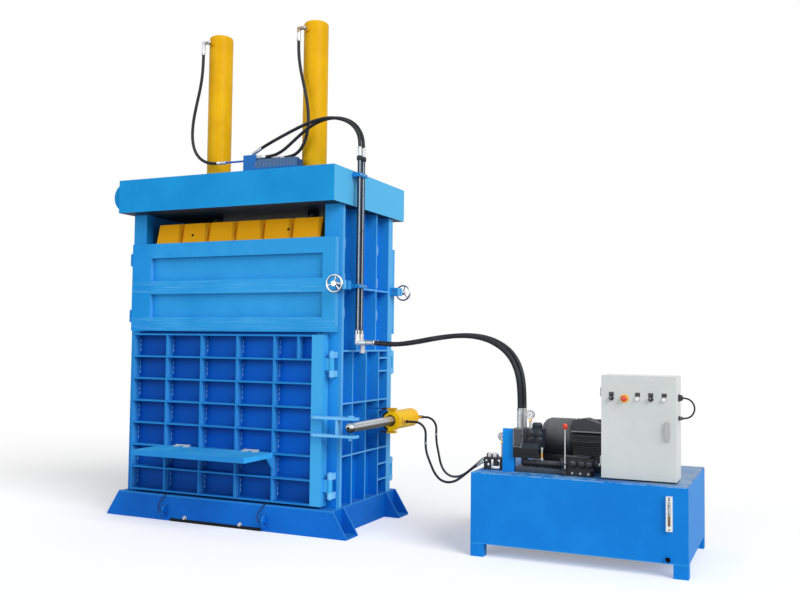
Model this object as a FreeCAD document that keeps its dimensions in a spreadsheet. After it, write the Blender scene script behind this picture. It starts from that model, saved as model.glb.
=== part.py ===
import FreeCAD, Part
import math
import os
import Sketcher

# A two-cylinder recycling baler with its hydraulic power unit, joined by hoses.
# Millimetres, +Z up. X runs along the front, Y towards the back.
# The origin is on the floor under the middle of the pressing chamber.

SHEET = {
    # chamber and base
    "chamber_width": 2100, "chamber_depth": 1012, "post_width": 140, "post_depth": 86,
    "wall_plate": 12, "wall_rib": 88, "rib_plate": 14, "base_height": 218,
    "base_depth": 1206, "beam_depth": 205, "foot_reach": 142, "gusset_plate": 14,
    "floor_plate": 16, "joist_width": 100, "tether_lug_radius": 55, "tether_hole_radius": 12,
    # header
    "header_width": 2166, "header_depth": 1356, "header_height": 290, "header_top": 2950,
    "header_plate": 20, "end_lug_radius": 125, "end_lug_proud": 80, "end_lug_plate": 30,
    # rams
    "ram_spacing": 1020, "ram_radius": 110, "ram_length": 1430, "ram_bore": 92,
    "ram_port_side": 91, "ram_port_reach": 61,
    "ram_rod_radius": 50, "ram_cap": 60, "ram_foot_radius": 130, "ram_foot_height": 30,
    "ram_edge": 28, "piston_height": 80, "running_gap": 0.4, "port_drop": 85,
    # platen
    "platen_width": 1700, "platen_depth_low": 970, "platen_depth_high": 824,
    "platen_bottom": 2260, "platen_top": 2574, "platen_plate": 30, "platen_groove": 26,
    "platen_groove_depth": 14, "platen_wall": 20, "rod_flange_radius": 95, "rod_flange_height": 24,
    # lower doors
    "door_gap": 4, "door_plate": 12, "door_rib": 84, "door_bottom": 240, "door_height": 1357,
    "door_overlap": 35, "stile_width": 99, "stile_from_side": 187, "extra_rib_step": 137,
    "door_lip": 17, "hinge_out": 60, "hinge_side": 62,
    "hinge_pin_radius": 13, "hinge_knuckle_radius": 22, "hinge_knuckle_height": 50,
    "hinge_height": 200, "hinge_low": 303, "hinge_high": 1264, "pin_clearance": 0.4,
    # door arm, rod and cylinder
    "arm_width": 64, "arm_plate": 20, "arm_reach": 290, "arm_gap": 118, "arm_middle": 878,
    "arm_pin_reach": 235, "arm_pin_out": 126, "arm_pin_radius": 15,
    "door_rod_radius": 38, "rod_eye_radius": 42,
    "cylinder_radius": 80, "cylinder_bore": 60, "collar_radius": 86, "cylinder_length": 457,
    "collar_length": 70, "trunnion_y": 125, "trunnion_radius": 88, "trunnion_width": 44,
    "trunnion_pin_radius": 18, "trunnion_lug_plate": 16, "collar_front": 22,
    "port_radius": 14, "lower_port_back": 112, "port_pipe_bend": 96,
    "tail_pipe_reach": 227, "lower_pipe_reach": 280, "tail_pipe_drop": 138, "lower_pipe_drop": 166,
    # shelf
    "shelf_depth": 410, "shelf_thickness": 40, "shelf_top": 640, "shelf_gap": 3,
    "bracket_height": 88, "bracket_reach": 84, "leaf_width": 144,
    # feed doors
    "feed_bottom": 1620, "feed_height": 768, "feed_thickness": 58, "feed_left": 40,
    "feed_right": 5, "recess_depth": 40, "recess_left": 206, "recess_right": 118, "recess_low": 122,
    "recess_height": 200, "recess_step": 317, "feed_hinge_in": 15, "feed_hinge_out": 34,
    "feed_pin_radius": 7, "feed_knuckle_radius": 14, "feed_hinge_low": 1700,
    "feed_hinge_high": 2200,
    # hand wheels
    "screw_side": 40, "screw_height": 2000, "screw_radius": 11, "screw_hole_radius": 13,
    "wheel_radius": 75, "wheel_rim": 8, "wheel_out": 159, "lug_width": 80, "lug_height": 70,
    # standpipes
    "pipe_radius": 17, "pipe_side": 55, "pipe_front": 350, "pipe_step": 66,
    "pipe_bottom": 1640, "pipe_top": 3040, "clamp_height": 30, "wall_clamp_level": 1999,
    "header_clamp_drop": 38, "pipe_foot_drop": 102, "pipe_foot_reach": 72,
    # header manifold
    "manifold_left": -60, "manifold_length": 550, "manifold_width": 100,
    "manifold_height": 170, "manifold_back": 165, "port_block_length": 120,
    "port_block_height": 60, "line_radius": 9,
    # hoses
    "ram_hose": 28, "main_hose": 38, "door_hose": 20, "cabinet_cable": 12,
    "ferrule_wall": 2, "ferrule_length": 60,
    # power unit
    "tank_left": 2217, "tank_front": -611, "tank_length": 1523, "tank_depth": 1089,
    "tank_bottom": 93, "tank_height": 511, "tank_wall": 6, "tank_foot": 98, "lid_plate": 6,
    "lid_from_left": 910,
    "motor_radius": 158, "motor_axis_height": 226, "motor_axis_back": 522, "fin_depth": 18,
    "cabinet_left": 933, "cabinet_width": 503, "cabinet_depth": 252, "cabinet_height": 716,
    "cabinet_wall": 6, "cabinet_foot": 8, "cabinet_front": 98, "panel_thickness": 18,
    "button_radius": 13.5, "button_row": 557, "button_pitch": 89, "button_first": 70,
}

doc = FreeCAD.newDocument("recycling_baler")
sheet = doc.addObject("Spreadsheet::Sheet", "Sizes")
for row, (alias, value) in enumerate(SHEET.items(), 1):
    sheet.set(f"A{row}", alias)
    sheet.set(f"B{row}", str(value))
    sheet.setAlias(f"B{row}", alias)
doc.recompute()


class Size:
    # A length that carries its value and the sheet formula behind it.
    def __init__(self, value, formula):
        self.value = float(value)
        self.formula = formula

    def join(self, other, sign, value):
        return Size(value, f"({self.formula} {sign} {sized(other).formula})")

    def __add__(self, other):
        return self.join(other, "+", self.value + sized(other).value)

    def __sub__(self, other):
        return self.join(other, "-", self.value - sized(other).value)

    def __mul__(self, other):
        return self.join(other, "*", self.value * sized(other).value)

    def __truediv__(self, other):
        return self.join(other, "/", self.value / sized(other).value)

    def __neg__(self):
        return Size(-self.value, f"(0 - {self.formula})")

    def __radd__(self, other):
        return sized(other) + self

    def __rsub__(self, other):
        return sized(other) - self

    def __rmul__(self, other):
        return sized(other) * self


def sized(value):
    if isinstance(value, Size):
        return value
    return Size(value, f"({float(value)!r})")


def larger(first, second):
    return Size(max(first.value, second.value), f"max({first.formula}; {second.formula})")


class Sizes:
    # Sizes by name, read from the sheet.
    def __getattr__(self, name):
        return Size(float(sheet.get(name)), f"Sizes.{name}")


s = Sizes()
AXES = {"x": FreeCAD.Vector(1, 0, 0), "y": FreeCAD.Vector(0, 1, 0), "z": FreeCAD.Vector(0, 0, 1)}
UP = AXES["z"]


def bind(piece, sizes):
    for name, value in sizes.items():
        piece.setExpression(name, sized(value).formula)


def put(piece, x, y, z, turn=None):
    piece.Placement = FreeCAD.Placement(FreeCAD.Vector(), turn or FreeCAD.Rotation())
    bind(piece, {"Placement.Base.x": x, "Placement.Base.y": y, "Placement.Base.z": z})
    return piece


def box(x, y, z):
    # A box between two bounds in each direction.
    piece = doc.addObject("Part::Box", "box")
    bind(piece, {"Length": x[1] - sized(x[0]), "Width": y[1] - sized(y[0]),
                 "Height": z[1] - sized(z[0])})
    return put(piece, x[0], y[0], z[0])


def rod(axis, start, length, radius):
    # A cylinder from a start point along X, Y or Z.
    piece = doc.addObject("Part::Cylinder", "rod")
    bind(piece, {"Radius": radius, "Height": length})
    return put(piece, *start, FreeCAD.Rotation(UP, AXES[axis]))


def named(piece, label):
    piece.Label = label
    return piece


def fuse(label, pieces):
    joined = doc.addObject("Part::MultiFuse", "joined")
    joined.Shapes = pieces
    joined.Refine = True
    return named(joined, label)


def cut(label, piece, tools):
    result = doc.addObject("Part::Cut", "cut")
    result.Base = piece
    result.Tool = tools[0] if len(tools) == 1 else fuse("tools", tools)
    result.Refine = True
    return named(result, label)


def group(label, pieces):
    gathered = doc.addObject("Part::Compound", "gathered")
    gathered.Links = pieces
    return named(gathered, label)


def outline(body, plane, points):
    # A closed polygon whose corners are bound to the sheet.
    sketch = body.newObject("Sketcher::SketchObject", "outline")
    origin_plane = [f for f in body.Origin.OriginFeatures if f.Role == plane + "_Plane"][0]
    sketch.AttachmentSupport = [(origin_plane, "")]
    sketch.MapMode = "FlatFace"
    corners = [(sized(a), sized(b)) for a, b in points]
    count = len(corners)
    for i in range(count):
        here = corners[i]
        there = corners[(i + 1) % count]
        sketch.addGeometry(Part.LineSegment(FreeCAD.Vector(here[0].value, here[1].value, 0),
                                            FreeCAD.Vector(there[0].value, there[1].value, 0)))
    for i in range(count):
        sketch.addConstraint(Sketcher.Constraint("Coincident", i, 2, (i + 1) % count, 1))
    for i, corner in enumerate(corners):
        for kind, size in zip(("DistanceX", "DistanceY"), corner):
            index = sketch.addConstraint(Sketcher.Constraint(kind, -1, 1, i, 1, size.value))
            sketch.setExpression(f"Constraints[{index}]", size.formula)
    return sketch


def profile(points, plane, length, place, reverse=False):
    # A plate or bar: a polygon padded to a length. XZ pads run towards -Y, YZ pads towards +X.
    body = doc.addObject("PartDesign::Body", "profile")
    pad = body.newObject("PartDesign::Pad", "pad")
    pad.Profile = outline(body, plane, points)
    pad.Reversed = reverse
    bind(pad, {"Length": length})
    return put(body, *place)


def turned(points, place, axis="z", turn=None):
    # A turned piece: a profile of (radius, height) revolved about its own Z, then laid along an axis.
    body = doc.addObject("PartDesign::Body", "turned")
    revolution = body.newObject("PartDesign::Revolution", "revolution")
    sketch = outline(body, "XZ", points)
    revolution.Profile = sketch
    revolution.ReferenceAxis = (sketch, ["V_Axis"])
    revolution.Angle = 360
    return put(body, *place, turn or FreeCAD.Rotation(UP, AXES[axis]))


def faced(side, near, far):
    # Bounds in Y on the front (side -1) or the rear (side +1).
    return (-sized(far), -sized(near)) if side < 0 else (sized(near), sized(far))


def sided(side, near, far):
    # Bounds in X on the left (side -1) or the right (side +1).
    return faced(side, near, far)


def route_edges(points, radius_share=0.45, fixed_radius=None):
    # Straight runs joined by tangent arcs. Each arc is as large as its two runs allow.
    spots = [FreeCAD.Vector(*p) for p in points]
    edges = []
    radii = []
    last = spots[0]
    for a, b, c in zip(spots, spots[1:], spots[2:]):
        first = (b - a).normalize()
        second = (c - b).normalize()
        half = first.getAngle(second) / 2
        reach = radius_share * min((b - a).Length, (c - b).Length)
        radius = reach / math.tan(half)
        if fixed_radius:
            radius = fixed_radius
            reach = radius * math.tan(half)
        start = b - first * reach
        end = b + second * reach
        inward = (second - first).normalize()
        centre = b + inward * (radius / math.cos(half))
        middle = centre - inward * radius
        edges.append(Part.LineSegment(last, start).toShape())
        edges.append(Part.Arc(start, middle, end).toShape())
        radii.append(radius)
        last = end
    edges.append(Part.LineSegment(last, spots[-1]).toShape())
    return edges, radii


def tube(label, points, diameter, fixed_radius=None):
    # A hose, cable or pipe along a route.
    edges, radii = route_edges(points, fixed_radius=fixed_radius)
    path = Part.Wire(edges)
    start = FreeCAD.Vector(*points[0])
    heading = FreeCAD.Vector(*points[1]) - start
    circle = Part.Wire([Part.makeCircle(diameter / 2, start, heading)])
    piece = doc.addObject("Part::Feature", "tube")
    piece.Shape = path.makePipeShell([circle], True, False)
    section = math.pi * diameter ** 2 / 4
    share = piece.Shape.Volume / (section * path.Length)
    print(f"{label}: length {path.Length:.0f}, smallest radius {min(radii):.0f}, volume share {share:.4f}")
    print("  radii", [round(r) for r in radii])
    return named(piece, label)


def ball(place, radius):
    piece = doc.addObject("Part::Sphere", "ball")
    bind(piece, {"Radius": radius})
    return put(piece, *place)


def pipe_run(label, corners, radius):
    # Straight legs along the axes, with a ball where two meet.
    pieces = []
    for a, b in zip(corners, corners[1:]):
        axis = [i for i in range(3) if abs(sized(b[i]).value - sized(a[i]).value) > 0.001][0]
        start, end = (a, b) if sized(a[axis]).value < sized(b[axis]).value else (b, a)
        pieces.append(rod("xyz"[axis], start, end[axis] - sized(start[axis]), radius))
    pieces += [ball(corner, radius + 1.5) for corner in corners[1:-1]]
    return fuse(label, pieces)


def ferrule(points, diameter, length, end):
    # The crimped sleeve beyond one end of a hose, in line with its last run.
    tip, inner = (points[0], points[1]) if end == 0 else (points[-1], points[-2])
    heading = FreeCAD.Vector(*tip) - FreeCAD.Vector(*inner)
    piece = doc.addObject("Part::Cylinder", "ferrule")
    bind(piece, {"Radius": diameter / 2 + s.ferrule_wall, "Height": length})
    return put(piece, *tip, FreeCAD.Rotation(UP, heading))


half_width = s.chamber_width / 2
half_depth = s.chamber_depth / 2
post_inner = half_width - s.post_width
header_bottom = s.header_top - s.header_height
nodes = []


# ---- base -------------------------------------------------------------------------------

def base_beam(label, side):
    near = s.base_depth / 2 - s.beam_depth
    far = s.base_depth / 2
    low = half_width + s.foot_reach
    high = half_width + s.gusset_plate
    trapezoid = [(-low, 0), (low, 0), (low, s.gusset_plate), (high, s.base_height),
                 (-high, s.base_height), (-low, s.gusset_plate)]
    pieces = [box((-half_width, half_width), faced(side, near, far), (0, s.base_height))]
    for edge in (near, far - s.gusset_plate):
        back = faced(side, edge, edge + s.gusset_plate)[1]
        pieces.append(profile(trapezoid, "XZ", s.gusset_plate, (0, back, 0)))
    pieces.append(box((-low, low), faced(side, near, far), (0, s.gusset_plate)))
    return fuse(label, pieces)


front_beam = base_beam("front_beam_blank", -1)
lug_height = 80
tether_x = (-546, 452)
lugs = [rod("x", (x - 8, -s.base_depth / 2, lug_height), 16, s.tether_lug_radius) for x in tether_x]
holes = [rod("x", (x - 20, -s.base_depth / 2 - s.tether_lug_radius / 2, lug_height - 20), 40,
             s.tether_hole_radius) for x in tether_x]
strip = box((-500, 410), (-s.base_depth / 2 - 6, -s.base_depth / 2), (0, 24))
nodes.append(cut("base_front_beam", fuse("beam_with_lugs", [front_beam, strip] + lugs), holes))
nodes.append(base_beam("base_rear_beam", 1))

between_beams = faced(1, 0, s.base_depth / 2 - s.beam_depth)[1]
floor_bottom = s.base_height - s.floor_plate
floor_pieces = [box((-half_width, half_width), (-between_beams, between_beams),
                    (floor_bottom, s.base_height))]
for left in (-half_width, -s.joist_width / 2, half_width - s.joist_width):
    floor_pieces.append(box((left, left + s.joist_width), (-between_beams, between_beams),
                            (0, floor_bottom)))
nodes.append(fuse("base_floor", floor_pieces))


# ---- side frames ------------------------------------------------------------------------

screw_x = half_width + s.screw_side
frame_z = (s.base_height, header_bottom)
rib_levels = (620, 1042, 1470, 1992)
lower_rib_y = (-248, 0, 248)
upper_rib_y = (-175, 175)
rung_levels = (344, 480, 953, 1292, 1406)
post_back = half_depth - s.post_depth


def side_frame(label, side):
    rib_x = sided(side, half_width - s.wall_rib, half_width)
    plate_x = sided(side, half_width - s.wall_rib - s.wall_plate, half_width - s.wall_rib)
    pieces = [box(plate_x, (-post_back, post_back), frame_z)]
    for end in (-1, 1):
        pieces.append(box(sided(side, post_inner, half_width), faced(end, post_back, half_depth),
                          frame_z))
    for level in rib_levels:
        pieces.append(box(rib_x, (-post_back, post_back), (level - s.rib_plate / 2,
                                                           level + s.rib_plate / 2)))
    for y in lower_rib_y:
        pieces.append(box(rib_x, (y - s.rib_plate / 2, y + s.rib_plate / 2),
                          (s.base_height, rib_levels[2])))
    for y in upper_rib_y:
        pieces.append(box(rib_x, (y - s.rib_plate / 2, y + s.rib_plate / 2),
                          (rib_levels[2], header_bottom)))
    if side > 0:
        for level in rung_levels:
            pieces.append(box(rib_x, (lower_rib_y[2], post_back), (level - s.rib_plate / 2,
                                                                   level + s.rib_plate / 2)))
        for end in (-1, 1):
            pieces.append(screw_block(end))
    return fuse(label, pieces)


def screw_block(end):
    # The block on the post that takes the end of a door's clamping screw.
    block = box((half_width, half_width + s.lug_width), faced(end, half_depth - 51, half_depth - 1),
                (s.screw_height - s.lug_height / 2, s.screw_height + s.lug_height / 2))
    hole = rod("y", (screw_x, faced(end, half_depth - 60, half_depth + 10)[0], s.screw_height), 70,
               s.screw_hole_radius)
    return cut("screw_block", block, [hole])


nodes.append(side_frame("side_frame_left", -1))
nodes.append(side_frame("side_frame_right", 1))


# ---- header -----------------------------------------------------------------------------

header_side = s.header_width / 2
header_front = s.header_depth / 2
ram_x = s.ram_spacing / 2
header_box = box((-header_side, header_side), (-header_front, header_front),
                 (header_bottom, s.header_top))
header_core = box((s.header_plate - header_side, header_side - s.header_plate),
                  (s.header_plate - header_front, header_front - s.header_plate),
                  (header_bottom + s.header_plate, s.header_top - s.header_plate))
rod_holes = [rod("z", (x, 0, header_bottom - 10), s.header_height + 20, s.ram_rod_radius + 10)
             for x in (-ram_x, ram_x)]
webs = [box((x - s.header_plate / 2, x + s.header_plate / 2),
            (s.header_plate - header_front, header_front - s.header_plate),
            (header_bottom + s.header_plate, s.header_top - s.header_plate))
        for x in (sized(-300), sized(0), sized(300))]
end_lug = rod("y", (-header_side + s.end_lug_radius - s.end_lug_proud, -header_front + 30,
                    (s.header_top + header_bottom) / 2), s.end_lug_plate, s.end_lug_radius)
hollow_header = cut("hollow_header", fuse("header_with_lug", [header_box, end_lug]),
                    [header_core] + rod_holes)
nodes.append(fuse("header_beam", [hollow_header] + webs))


# ---- rams -------------------------------------------------------------------------------

rod_hole = s.ram_rod_radius + s.running_gap


def ram_barrel(side):
    top = s.ram_length
    inner_top = s.ram_length - s.ram_cap
    body = turned([(rod_hole, 0), (s.ram_foot_radius, 0), (s.ram_foot_radius, s.ram_foot_height),
                   (s.ram_radius, s.ram_foot_height), (s.ram_radius, top), (0, top),
                   (0, inner_top), (s.ram_bore, inner_top), (s.ram_bore, s.ram_cap),
                   (rod_hole, s.ram_cap)], (side * ram_x, 0, s.header_top))
    return body


def round_top(body):
    # The rounded upper edge of the barrel.
    doc.recompute()
    top = max(v.Point.z for v in body.Shape.Vertexes)
    edge = [i for i, e in enumerate(body.Shape.Edges, 1)
            if abs(e.BoundBox.ZMin - top) < 0.01 and abs(e.BoundBox.ZMax - top) < 0.01
            and e.BoundBox.XLength > s.ram_radius.value]
    revolution = body.Tip
    fillet = body.newObject("PartDesign::Fillet", "top_edge")
    fillet.Base = (revolution, [f"Edge{edge[0]}"])
    bind(fillet, {"Radius": s.ram_edge})
    body.Tip = fillet


boss_z = s.header_top + s.ram_length - s.port_drop
boss_face = -132
for side, name in ((-1, "left"), (1, "right")):
    barrel = ram_barrel(side)
    round_top(barrel)
    boss = rod("y", (side * ram_x - 30, boss_face, boss_z), 36, 24)
    nodes.append(fuse(f"ram_cylinder_{name}", [barrel, boss]))

piston_top = s.header_top + s.ram_length - s.ram_cap - 10
rod_length = piston_top - s.platen_top
ram_rods = []
for side in (-1, 1):
    ram_rods.append(turned([(0, 0), (s.rod_flange_radius, 0),
                            (s.rod_flange_radius, s.rod_flange_height),
                            (s.ram_rod_radius, s.rod_flange_height),
                            (s.ram_rod_radius, rod_length - s.piston_height),
                            (s.ram_bore - s.running_gap, rod_length - s.piston_height),
                            (s.ram_bore - s.running_gap, rod_length), (0, rod_length)],
                           (side * ram_x, 0, s.platen_top)))
nodes.append(group("ram_rods", ram_rods))


# ---- platen: a pressed-face box that widens downwards -----------------------------------

platen_bands = 6


def platen():
    low = s.platen_depth_low / 2
    high = s.platen_depth_high / 2
    tall = s.platen_top - s.platen_bottom
    pitch = s.platen_width / platen_bands
    body = doc.addObject("PartDesign::Body", "platen_body")
    core = body.newObject("PartDesign::Pad", "core")
    inset = s.platen_groove_depth
    core.Profile = outline(body, "YZ", [(-(low - inset), 0), (low - inset, 0),
                                        (high - inset, tall), (-(high - inset), tall)])
    bind(core, {"Length": s.platen_width - s.platen_groove})
    band = body.newObject("PartDesign::Pad", "band")
    band.Profile = outline(body, "YZ", [(-low, 0), (low, 0), (low, s.platen_plate),
                                        (high, tall), (-high, tall), (-low, s.platen_plate)])
    bind(band, {"Length": pitch - s.platen_groove})
    pattern = body.newObject("PartDesign::LinearPattern", "bands")
    pattern.Originals = [band]
    pattern.Direction = ([f for f in body.Origin.OriginFeatures if f.Role == "X_Axis"][0], [""])
    pattern.Occurrences = platen_bands
    bind(pattern, {"Length": pitch * (platen_bands - 1)})
    body.Tip = pattern
    return put(body, (s.platen_groove - s.platen_width) / 2, 0, s.platen_bottom)


plate = box((-s.platen_width / 2, s.platen_width / 2),
            (-s.platen_depth_low / 2, s.platen_depth_low / 2),
            (s.platen_bottom, s.platen_bottom + s.platen_plate))
inner_low = s.platen_depth_low / 2 - s.platen_groove_depth - s.platen_wall
inner_high = s.platen_depth_high / 2 - s.platen_groove_depth - s.platen_wall
inner_tall = s.platen_top - s.platen_bottom - s.platen_plate - s.platen_wall
inner_width = s.platen_width - s.platen_groove - 2 * s.platen_wall
hollow = profile([(-inner_low, 0), (inner_low, 0), (inner_high, inner_tall),
                  (-inner_high, inner_tall)], "YZ", inner_width,
                 (-inner_width / 2, 0, s.platen_bottom + s.platen_plate))
stiffeners = [box((x - s.platen_wall / 2, x + s.platen_wall / 2), (-inner_high, inner_high),
                  (s.platen_bottom + s.platen_plate, s.platen_top - s.platen_wall))
              for x in (-ram_x, sized(0), ram_x)]
shell = cut("platen_shell", fuse("platen_solid", [platen(), plate]), [hollow])
nodes.append(fuse("platen", [shell] + stiffeners))


# ---- lower doors: ribbed grids hinged on the right posts ---------------------------------

door_left = -post_inner - s.door_overlap
stile_left = half_width - s.stile_from_side
door_right = stile_left + s.stile_width
door_back = half_depth + s.door_gap
rib_back = door_back + s.door_plate
door_face = rib_back + s.door_rib
door_top = s.door_bottom + s.door_height
grid_rows = 7
grid_columns = 5
row_pitch = (s.door_height - s.rib_plate) / grid_rows
column_pitch = (stile_left - door_left) / grid_columns
hinge_x = door_right + s.hinge_side
hinge_y = half_depth + s.hinge_out
hinge_levels = (s.hinge_low, s.hinge_high)
knuckle_gap = 1


def lower_door(side):
    depth = faced(side, rib_back, door_face)
    pieces = [box((door_left, door_right), faced(side, door_back, rib_back),
                  (s.door_bottom, door_top + s.door_lip)),
              box((stile_left, door_right), depth, (s.door_bottom, door_top))]
    for row in range(grid_rows + 1):
        z = s.door_bottom + row * row_pitch
        pieces.append(box((door_left, stile_left), depth, (z, z + s.rib_plate)))
    for column in range(grid_columns):
        x = door_left + column * column_pitch
        pieces.append(box((x, x + s.rib_plate), depth, (s.door_bottom, door_top)))
    extra = stile_left - s.extra_rib_step
    pieces.append(box((extra, extra + s.rib_plate), depth, (door_top - row_pitch, door_top)))
    for level in hinge_levels:
        low = level + s.hinge_knuckle_height + knuckle_gap
        tall = s.hinge_height - 2 * (s.hinge_knuckle_height + knuckle_gap)
        pieces.append(rod("z", (hinge_x, side * hinge_y, low), tall, s.hinge_knuckle_radius - 2))
        pieces.append(box((door_right - 10, hinge_x), faced(side, hinge_y - 8, hinge_y + 8),
                          (low, low + tall)))
    return pieces


def hinge_bores(side):
    return [rod("z", (hinge_x, side * hinge_y, level), s.hinge_height,
                s.hinge_pin_radius + s.pin_clearance) for level in hinge_levels]


shelf_left = door_left + column_pitch
shelf_right = door_left + 4 * column_pitch + s.rib_plate
shelf_bottom = s.shelf_top - s.shelf_thickness
bracket_top = shelf_bottom - 0.4
leaf_y = -(door_face + 7)
leaf_z = s.shelf_top + 8
leaf_middles = (-376, 313)


leaf_low = s.door_bottom + 2 * row_pitch + s.rib_plate


def shelf_supports():
    # Two welded brackets under the shelf, and the knuckles that it turns on.
    solids = []
    for left in (shelf_left, shelf_right - s.rib_plate):
        triangle = [(-door_face, bracket_top - s.bracket_height), (-door_face, bracket_top),
                    (-door_face - s.bracket_reach, bracket_top)]
        solids.append(profile(triangle, "YZ", s.rib_plate, (left, 0, 0)))
    for x in leaf_middles:
        solids.append(fuse("shelf_knuckle", [
            rod("x", (x - 30, leaf_y, leaf_z), 60, 7),
            box((x - 30, x + 30), (leaf_y, -door_face + 1), (leaf_z - 5, leaf_z + 5)),
            box((x - 30, x + 30), (-door_face, -rib_back), (leaf_low, leaf_z + 5))]))
    return solids


nodes.append(cut("lower_front_door", fuse("front_grid", lower_door(-1)), hinge_bores(-1)))
nodes.append(group("shelf_brackets", shelf_supports()))
nodes.append(cut("lower_rear_door", fuse("rear_grid", lower_door(1)), hinge_bores(1)))

hinge_sets = []
for side in (-1, 1):
    for level in hinge_levels:
        upper = level + s.hinge_height - s.hinge_knuckle_height
        pieces = [rod("z", (hinge_x, side * hinge_y, level - 8), s.hinge_height + 16,
                      s.hinge_pin_radius)]
        for low in (level, upper):
            pieces.append(rod("z", (hinge_x, side * hinge_y, low), s.hinge_knuckle_height,
                              s.hinge_knuckle_radius))
            pieces.append(box((hinge_x - 14, hinge_x + 20), faced(side, half_depth, hinge_y),
                              (low, low + s.hinge_knuckle_height)))
        hinge_sets.append(fuse("hinge_set", pieces))
nodes.append(group("lower_door_hinges", hinge_sets))


# ---- shelf ------------------------------------------------------------------------------

shelf_back = door_face + s.shelf_gap
shelf_pieces = [box((shelf_left, shelf_right), (-shelf_back - s.shelf_depth, -shelf_back),
                    (shelf_bottom, s.shelf_top))]
for x in leaf_middles:
    for left in (x - s.leaf_width / 2, x + 31):
        span = s.leaf_width / 2 - 31
        shelf_pieces.append(rod("x", (left, leaf_y, leaf_z), span, 7))
        shelf_pieces.append(box((left, left + span), (leaf_y - 40, leaf_y), (s.shelf_top, leaf_z)))
nodes.append(fuse("shelf", shelf_pieces))


# ---- door arm, door cylinder and its rod -------------------------------------------------

pin_x = half_width + s.arm_pin_reach - 50
pin_y = -(half_depth + s.arm_pin_out)
arm_end = half_width - 50 + s.arm_reach
arm_front = -(door_face + s.arm_width)
arm_back = arm_front + s.arm_width + 11
arm_low = s.arm_middle - s.arm_gap / 2
arm_high = s.arm_middle + s.arm_gap / 2
arm_start = stile_left + 20
arm_points = [(arm_start, -door_face), (arm_start, arm_front + 30), (arm_start + 16, arm_front + 8),
              (arm_start + 40, arm_front), (arm_end, arm_front), (arm_end, arm_back),
              (hinge_x + 62, arm_back), (hinge_x + 48, -door_face - 10),
              (door_right, -door_face - 10), (door_right, -door_face)]
arm_pieces = []
for low in (arm_low - s.arm_plate, arm_high):
    arm_pieces.append(profile(arm_points, "XY", s.arm_plate, (0, 0, low)))
arm_pieces.append(box((hinge_x + 94, hinge_x + 108), (arm_front + 6, arm_back - 6),
                      (arm_low, arm_high)))
arm = fuse("arm_plates", arm_pieces)
pin_heads = [rod("z", (pin_x, pin_y, arm_high + s.arm_plate), 12, 26),
             rod("z", (pin_x, pin_y, arm_low - s.arm_plate - 22), 22, 16)]
nodes.append(fuse("door_arm", [arm] + pin_heads))

collar_y = s.trunnion_y - s.collar_front
piston_front = collar_y + 32
eye = ball((pin_x, pin_y, s.arm_middle), s.rod_eye_radius)
rod_shank = rod("y", (pin_x, pin_y, s.arm_middle), piston_front - pin_y, s.door_rod_radius)
door_piston = rod("y", (pin_x, piston_front, s.arm_middle), 50, s.cylinder_bore - s.running_gap)
eye_bore = rod("z", (pin_x, pin_y, s.arm_middle - s.rod_eye_radius * 2), s.rod_eye_radius * 4,
               s.arm_pin_radius + s.pin_clearance)
end_hole = rod("y", (pin_x, pin_y - s.rod_eye_radius - 2, s.arm_middle), 18, 9)
nodes.append(cut("door_rod", fuse("rod_and_eye", [eye, rod_shank, door_piston]),
                 [eye_bore, end_hole]))
nodes.append(named(rod("z", (pin_x, pin_y, arm_low + 2), s.arm_gap - 4, s.arm_pin_radius),
                   "arm_pin"))

door_rod_hole = s.door_rod_radius + s.running_gap
barrel = turned([(door_rod_hole, 0), (s.collar_radius, 0), (s.collar_radius, s.collar_length),
                 (s.cylinder_radius, s.collar_length), (s.cylinder_radius, s.cylinder_length - 25),
                 (s.cylinder_radius - 20, s.cylinder_length), (0, s.cylinder_length),
                 (0, s.cylinder_length - 40), (s.cylinder_bore, s.cylinder_length - 40),
                 (s.cylinder_bore, 30), (door_rod_hole, 30)],
                (pin_x, collar_y, s.arm_middle), "y")
ring_front = s.trunnion_y - s.trunnion_width / 2
ring = turned([(s.cylinder_radius - 2, 0), (s.trunnion_radius, 0),
               (s.trunnion_radius, s.trunnion_width), (s.cylinder_radius - 2, s.trunnion_width)],
              (pin_x, ring_front, s.arm_middle), "y")
lug_gap = 2
lug_low = s.arm_middle - s.trunnion_radius - lug_gap
lug_high = s.arm_middle + s.trunnion_radius + lug_gap
pin_length = s.trunnion_lug_plate + 12
trunnion_pins = [rod("z", (pin_x, s.trunnion_y, lug_high - 12), pin_length, s.trunnion_pin_radius),
                 rod("z", (pin_x, s.trunnion_y, lug_low + 12 - pin_length), pin_length,
                     s.trunnion_pin_radius)]
tail_y = collar_y + s.cylinder_length
tail_pipe_y = tail_y + 28
lower_port_y = collar_y + s.lower_port_back
lower_port_z = s.arm_middle - 12


def port_pipe(label, start, y, z, reach, drop):
    # A pipe that leaves the port sideways and bends down to its hose.
    corners = [(start, y, z), (pin_x + reach, y, z), (pin_x + reach, y, z - drop)]
    places = [tuple(sized(size).value for size in corner) for corner in corners]
    return tube(label, places, s.door_hose.value, s.port_pipe_bend.value)


ports = [rod("y", (pin_x, tail_y - 4, s.arm_middle), 28 + 4 + s.port_radius, s.port_radius),
         rod("x", (pin_x, tail_pipe_y, s.arm_middle), 100, s.port_radius),
         rod("x", (pin_x + s.cylinder_bore + 4, lower_port_y, lower_port_z), 48, s.port_radius),
         port_pipe("tail_pipe", pin_x, tail_pipe_y, s.arm_middle, s.tail_pipe_reach,
                   s.tail_pipe_drop),
         port_pipe("lower_pipe", pin_x + s.cylinder_radius - 10, lower_port_y, lower_port_z,
                   s.lower_pipe_reach, s.lower_pipe_drop)]
nodes.append(fuse("door_cylinder", [barrel, ring] + trunnion_pins + ports))

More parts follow.
